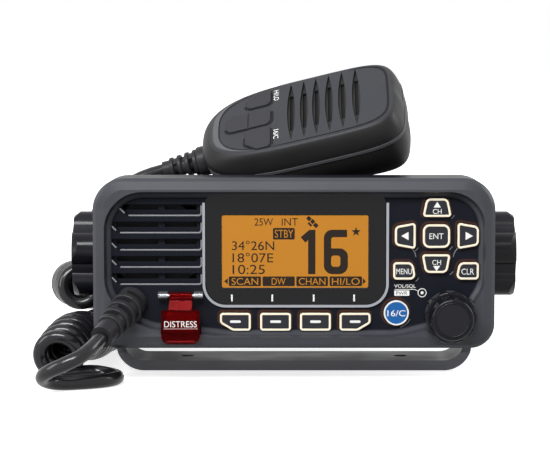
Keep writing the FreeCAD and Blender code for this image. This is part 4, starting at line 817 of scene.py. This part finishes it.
KNOB_X, KNOB_Z, CAP_RIM_R = 60.8, -20.4, 6.45
SOCKET_X, SOCKET_Z, THREAD_R = -38.0, 8.0, 7.7
THREAD_Y, THREAD_PITCH, THREAD_TURNS = 114.0, 1.5, 7
RIM_BEAD, RIM_FLAT, CREST_BEAD = 0.38, 0.8, 0.34
HOOP_STEPS = 64


def knob_rim():
    """The rounded step round the volume knob's cap."""
    front = (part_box("knob_cap")[0][1] - PANEL_ORIGIN.y) / MM
    hoop = arc(KNOB_X, KNOB_Z, CAP_RIM_R, 0, 360, HOOP_STEPS)
    rim = stroke("knob_cap_rim", hoop, RIM_BEAD, on_panel(front), RIM_FLAT)
    finish_piece(rim, "volume", MATERIALS["knob_plastic"])


def socket_thread():
    """The crests of the antenna socket's thread."""
    hoop = arc(SOCKET_X, SOCKET_Z, THREAD_R, 0, 360, HOOP_STEPS)
    for turn in range(THREAD_TURNS):
        crest = stroke("antenna_crest_%d" % turn, hoop, CREST_BEAD,
                       on_panel(THREAD_Y + turn * THREAD_PITCH))
        finish_piece(crest, "radio", MATERIALS["nickel_brass"])


display_window()
display_picture()
dress_keys()
key_legends()
fascia_legends()
louvre_lips()
distress_details()
knob_rim()
socket_thread()


# ---------------------------------------------------------------- microphone

MIC_MIDDLE = 4.0                                 # where the oval is widest, along its length
HEAD_POWER, TAIL_POWER = 5.0, 3.0                # how blunt the oval's two ends are
FACE_RIM = (-36.7, 39.2, 23.3, 13.92)            # an oval: tail, head, half width, height
FACE_EDGE = (-34.3, 38.4, 22.6, MIC_FACE + 0.18)
STRIP_T, STRIP_STEPS = 0.12, 72
LINE_SINK = 0.04
# the painted shade beside the microphone's keys
SHADE_RADIUS, SHADE_FLAT, SHADE_SINK = 0.42, 0.4, 0.1
SLITS, SLIT_MESH_T, SLIT_MESH_SINK = (-7.0, 29.0, -15.0, 17.0), 0.3, 2.3
WORD_U, WORD_HALF_H = -9.4, 1.1
# pale grey that paints the highlight on the raised rim round the face's tail
MIC_RIM_HIGHLIGHT = surface("mic_rim_painted_highlight", (0.095, 0.096, 0.102), 0.40, grain=1700, relief=0.02)
# black for painted shade on the microphone's face
SHADE_BLACK = ink("painted_shade_black", (0.006, 0.006, 0.007))


def on_mic(u, w, turn=0.0, n=MIC_FACE):
    """A place at height n on the microphone: u along it, w across it, turned by some degrees."""
    return MIC_FRAME @ Matrix.Translation((u, w, n)) @ Matrix.Rotation(math.radians(turn), 4, "Z")


def microphone_legends():
    """Words beside the two upper keys, read from the far side to the near one."""
    for name, word, w, length in (("mic_word_power", "HI/LO", 16.0, 7.6),
                                  ("mic_word_16", "16/C", -13.4, 6.6)):
        box = (-length / 2, length / 2, -WORD_HALF_H, WORD_HALF_H)
        piece = lettering(name, word, box, on_mic(WORD_U, w, -90), INK_LIFT)
        finish_piece(piece, "microphone", INK_WHITE)


def egg_point(section, angle):
    """A point of the microphone's blunt oval (tail, head, half width, height)."""
    tail, head, half, n = section
    c, s = math.cos(angle), math.sin(angle)
    length, power = (head - MIC_MIDDLE, HEAD_POWER) if c >= 0 else (MIC_MIDDLE - tail, TAIL_POWER)
    u = length * math.copysign(abs(c) ** (2 / power), c)
    w = half * math.copysign(abs(s) ** (2 / power), s)
    return Vector((MIC_MIDDLE + u, w, n))


def oval_strip(name, outer, inner, start, stop, material, taper):
    """A thin band on the face between two ovals, from one angle to another, with pointed ends."""
    points, faces = [], [(3, 2, 1, 0), tuple(range(4 * STRIP_STEPS, 4 * STRIP_STEPS + 4))]
    for i in range(STRIP_STEPS + 1):
        share = i / STRIP_STEPS
        angle = math.radians(start + (stop - start) * share)
        full = min(1.0, min(share, 1 - share) / taper)
        a, b = egg_point(outer, angle), egg_point(inner, angle)
        middle = (a + b) / 2
        edges = [middle.lerp(a, full), middle.lerp(b, full)]
        points += edges + [point - Vector((0, 0, STRIP_T)) for point in reversed(edges)]
        if i:
            faces += [(4 * i - 4 + k, 4 * i - 4 + (k + 1) % 4, 4 * i + (k + 1) % 4, 4 * i + k)
                      for k in range(4)]
    mesh = bpy.data.meshes.new(name)
    mesh.from_pydata(points, [], faces)
    mesh.transform(MIC_FRAME)
    finish_piece(linked(name, mesh), "microphone", material)


def face_border():
    """The face's edge: a pale crescent of painted highlight round the tail with a fine line of
    painted shade inside it, and a dark groove of painted shade round the rest."""
    oval_strip("mic_face_crescent_highlight", FACE_RIM, FACE_EDGE, 122, 244, MIC_RIM_HIGHLIGHT, 0.35)
    tail, head, half, n = FACE_EDGE
    # painted shade: the groove round the face and a fine line inside the crescent
    for name, out, width, start, stop in (("mic_face_groove_shade", 0.0, 0.9, 252, 438),
                                          ("mic_face_inner_shade", -0.2, 0.3, 119, 240)):
        outer = (tail - out, head + out, half + out, n - LINE_SINK)
        inner = (tail - out + width, head + out - width, half + out - width, n - LINE_SINK)
        oval_strip(name, outer, inner, start, stop, SHADE_BLACK, 0.2)


def key_shade(name, *path):
    """Painted shade beside a key, on the side away from the light."""
    bead = stroke(name, path, SHADE_RADIUS, on_mic(0, 0, n=MIC_FACE - SHADE_SINK), SHADE_FLAT)
    finish_piece(bead, "microphone", SHADE_BLACK)


def key_shades():
    """Painted shade along the keys' near edges and right ends."""
    key_shade("mic_shade_hilo", (-23.1, 12.4), *arc(-20.1, 12.1, 3.0, 180, 270, 8),
            *arc(-13.8, 12.1, 3.0, 270, 360, 8), (-10.8, 19.6))
    key_shade("mic_shade_rocker", (-31.5, -1.6), *arc(-27.8, -2.0, 3.7, 180, 270, 8),
            *arc(-14.5, -2.0, 3.7, 270, 360, 8), (-10.8, 4.6))
    key_shade("mic_shade_16_left", (-23.1, -11.6), (-23.1, -16.6), (-22.4, -17.6), (-19.6, -20.4))
    key_shade("mic_shade_16_right", (-10.8, -20.6), (-10.8, -8.8))


def slit_mesh():
    """The dark mesh behind the speaker slits."""
    outline = rounded_off(block(*SLITS, 4.0))
    mesh = cutout("mic_slit_mesh", [outline], SLIT_MESH_T, 0.0,
                  on_mic(0, 0, n=MIC_FACE - SLIT_MESH_SINK))
    finish_piece(mesh, "microphone", MATERIALS["mesh_fabric"])


microphone_legends()
face_border()
key_shades()
slit_mesh()


# ---------------------------------------------------------------- camera, light and floor

CAMERA_DISTANCE = 0.8
CAMERA_HEIGHT = math.radians(5.5)
WIDTH, HEIGHT = 550, 450
PRINCIPAL_X, PRINCIPAL_Y = 294.0, 263.8          # where the middle of the panel is in the picture
FOCAL_PIXELS = 2060
SENSOR_WIDTH = 36
WORLD_TINT = (0.92, 0.95, 1.0)
WORLD_LOW, WORLD_HIGH, WORLD_TOP = 0.10, 0.42, 0.9
FLOOR_SEEN, FLOOR_BOUNCE = 0.86, 0.15            # its colour for the camera, and for other rays
FLOOR_ROUGHNESS = 0.7
FLOOR_GLOW = 0.78
FLOOR_NEAR, FLOOR_FAR = 0.3, 1.2                 # between them the glow grows to 1
FLOOR_REACH = 12.0


def place_camera():
    """The camera of the photo, level across and looking a little down."""
    data = bpy.data.cameras.new("camera")
    data.sensor_width = SENSOR_WIDTH
    data.lens = FOCAL_PIXELS / WIDTH * SENSOR_WIDTH
    data.shift_x = -(PRINCIPAL_X - WIDTH / 2) / WIDTH
    data.shift_y = (PRINCIPAL_Y - HEIGHT / 2) / WIDTH
    camera = linked("camera", data)
    back = Vector((0, -math.cos(CAMERA_HEIGHT), math.sin(CAMERA_HEIGHT)))
    camera.location = PANEL_ORIGIN + back * CAMERA_DISTANCE
    camera.rotation_euler = (math.radians(90) - CAMERA_HEIGHT, 0, 0)
    bpy.context.scene.camera = camera


def softbox(name, place, aim, size, power):
    """A rectangular lamp, aimed at a point."""
    data = bpy.data.lights.new(name, "AREA")
    data.shape = "RECTANGLE"
    data.size, data.size_y = size
    data.energy = power
    lamp = linked(name, data)
    lamp.location = place
    lamp.rotation_euler = (Vector(aim) - Vector(place)).to_track_quat("-Z", "Y").to_euler()


def seen_directly(tree):
    """1 for rays of the camera, of mirror images and through clear parts, and 0 for other light."""
    rays = tree.nodes.new("ShaderNodeLightPath")
    seen = rays.outputs["Is Camera Ray"]
    for ray in ("Is Glossy Ray", "Is Transmission Ray"):
        either = tree.nodes.new("ShaderNodeMath")
        either.operation = "MAXIMUM"
        tree.links.new(seen, either.inputs[0])
        tree.links.new(rays.outputs[ray], either.inputs[1])
        seen = either.outputs["Value"]
    return seen


def light_world():
    """A dim studio, dark at floor level and brighter overhead, with a white backdrop."""
    world = bpy.data.worlds.new("studio")
    bpy.context.scene.world = world
    world.use_nodes = True
    tree = world.node_tree
    plain = tree.nodes["Background"]
    plain.inputs["Color"].default_value = (*WORLD_TINT, 1)
    direction = tree.nodes.new("ShaderNodeTexCoord")
    split = tree.nodes.new("ShaderNodeSeparateXYZ")
    height = tree.nodes.new("ShaderNodeMapRange")
    height.inputs["From Max"].default_value = WORLD_TOP
    height.inputs["To Min"].default_value = WORLD_LOW
    height.inputs["To Max"].default_value = WORLD_HIGH
    tree.links.new(direction.outputs["Generated"], split.inputs["Vector"])
    tree.links.new(split.outputs["Z"], height.inputs["Value"])
    tree.links.new(height.outputs["Result"], plain.inputs["Strength"])
    white = tree.nodes.new("ShaderNodeBackground")
    white.inputs["Color"].default_value = (1, 1, 1, 1)
    mix = tree.nodes.new("ShaderNodeMixShader")
    tree.links.new(seen_directly(tree), mix.inputs["Fac"])
    tree.links.new(plain.outputs[0], mix.inputs[1])
    tree.links.new(white.outputs[0], mix.inputs[2])
    tree.links.new(mix.outputs[0], tree.nodes["World Output"].inputs["Surface"])


def lay_floor():
    """A pale floor that takes the shadow. Its glow lifts it to white where it is seen directly,
    and is stronger away from the lamps."""
    mesh = bpy.data.meshes.new("floor")
    low, high = -FLOOR_REACH, FLOOR_REACH
    corners = [(low, low, 0), (high, low, 0), (high, high, 0), (low, high, 0)]
    mesh.from_pydata(corners, [], [(0, 1, 2, 3)])
    floor = linked("floor", mesh)
    made, tree, shader, add = new_material("floor")
    shader.inputs["Roughness"].default_value = FLOOR_ROUGHNESS
    tint = add("ShaderNodeMix", data_type="RGBA")
    tint.inputs["A"].default_value = (FLOOR_BOUNCE, FLOOR_BOUNCE, FLOOR_BOUNCE, 1)
    tint.inputs["B"].default_value = (FLOOR_SEEN, FLOOR_SEEN, FLOOR_SEEN, 1)
    rays = add("ShaderNodeLightPath")
    tree.links.new(rays.outputs["Is Camera Ray"], tint.inputs["Factor"])
    tree.links.new(tint.outputs["Result"], shader.inputs["Base Color"])
    glow = add("ShaderNodeEmission")
    lift = add("ShaderNodeMath", operation="MULTIPLY")
    coords = add("ShaderNodeTexCoord")
    away = add("ShaderNodeVectorMath", operation="LENGTH")
    fade = add("ShaderNodeMapRange")
    fade.inputs["From Min"].default_value = FLOOR_NEAR
    fade.inputs["From Max"].default_value = FLOOR_FAR
    fade.inputs["To Min"].default_value = FLOOR_GLOW
    both = add("ShaderNodeAddShader")
    tree.links.new(coords.outputs["Object"], away.inputs[0])
    tree.links.new(away.outputs["Value"], fade.inputs["Value"])
    tree.links.new(seen_directly(tree), lift.inputs[0])
    tree.links.new(fade.outputs["Result"], lift.inputs[1])
    tree.links.new(lift.outputs["Value"], glow.inputs["Strength"])
    tree.links.new(shader.outputs[0], both.inputs[0])
    tree.links.new(glow.outputs[0], both.inputs[1])
    tree.links.new(both.outputs[0], tree.nodes["Material Output"].inputs["Surface"])
    mesh.materials.append(made)


place_camera()
softbox("light_key", place=(-0.25, -0.83, 0.78), aim=(0, -0.05, 0.05), size=(0.75, 0.3), power=15)
softbox("light_left", place=(-0.95, -0.45, 0.45), aim=(0, 0, 0.05), size=(0.4, 0.6), power=5)
softbox("light_right", place=(0.95, 0.15, 0.55), aim=(0, 0, 0.08), size=(0.4, 0.6), power=4)
light_world()
lay_floor()
bpy.context.scene.view_settings.view_transform = "Standard"
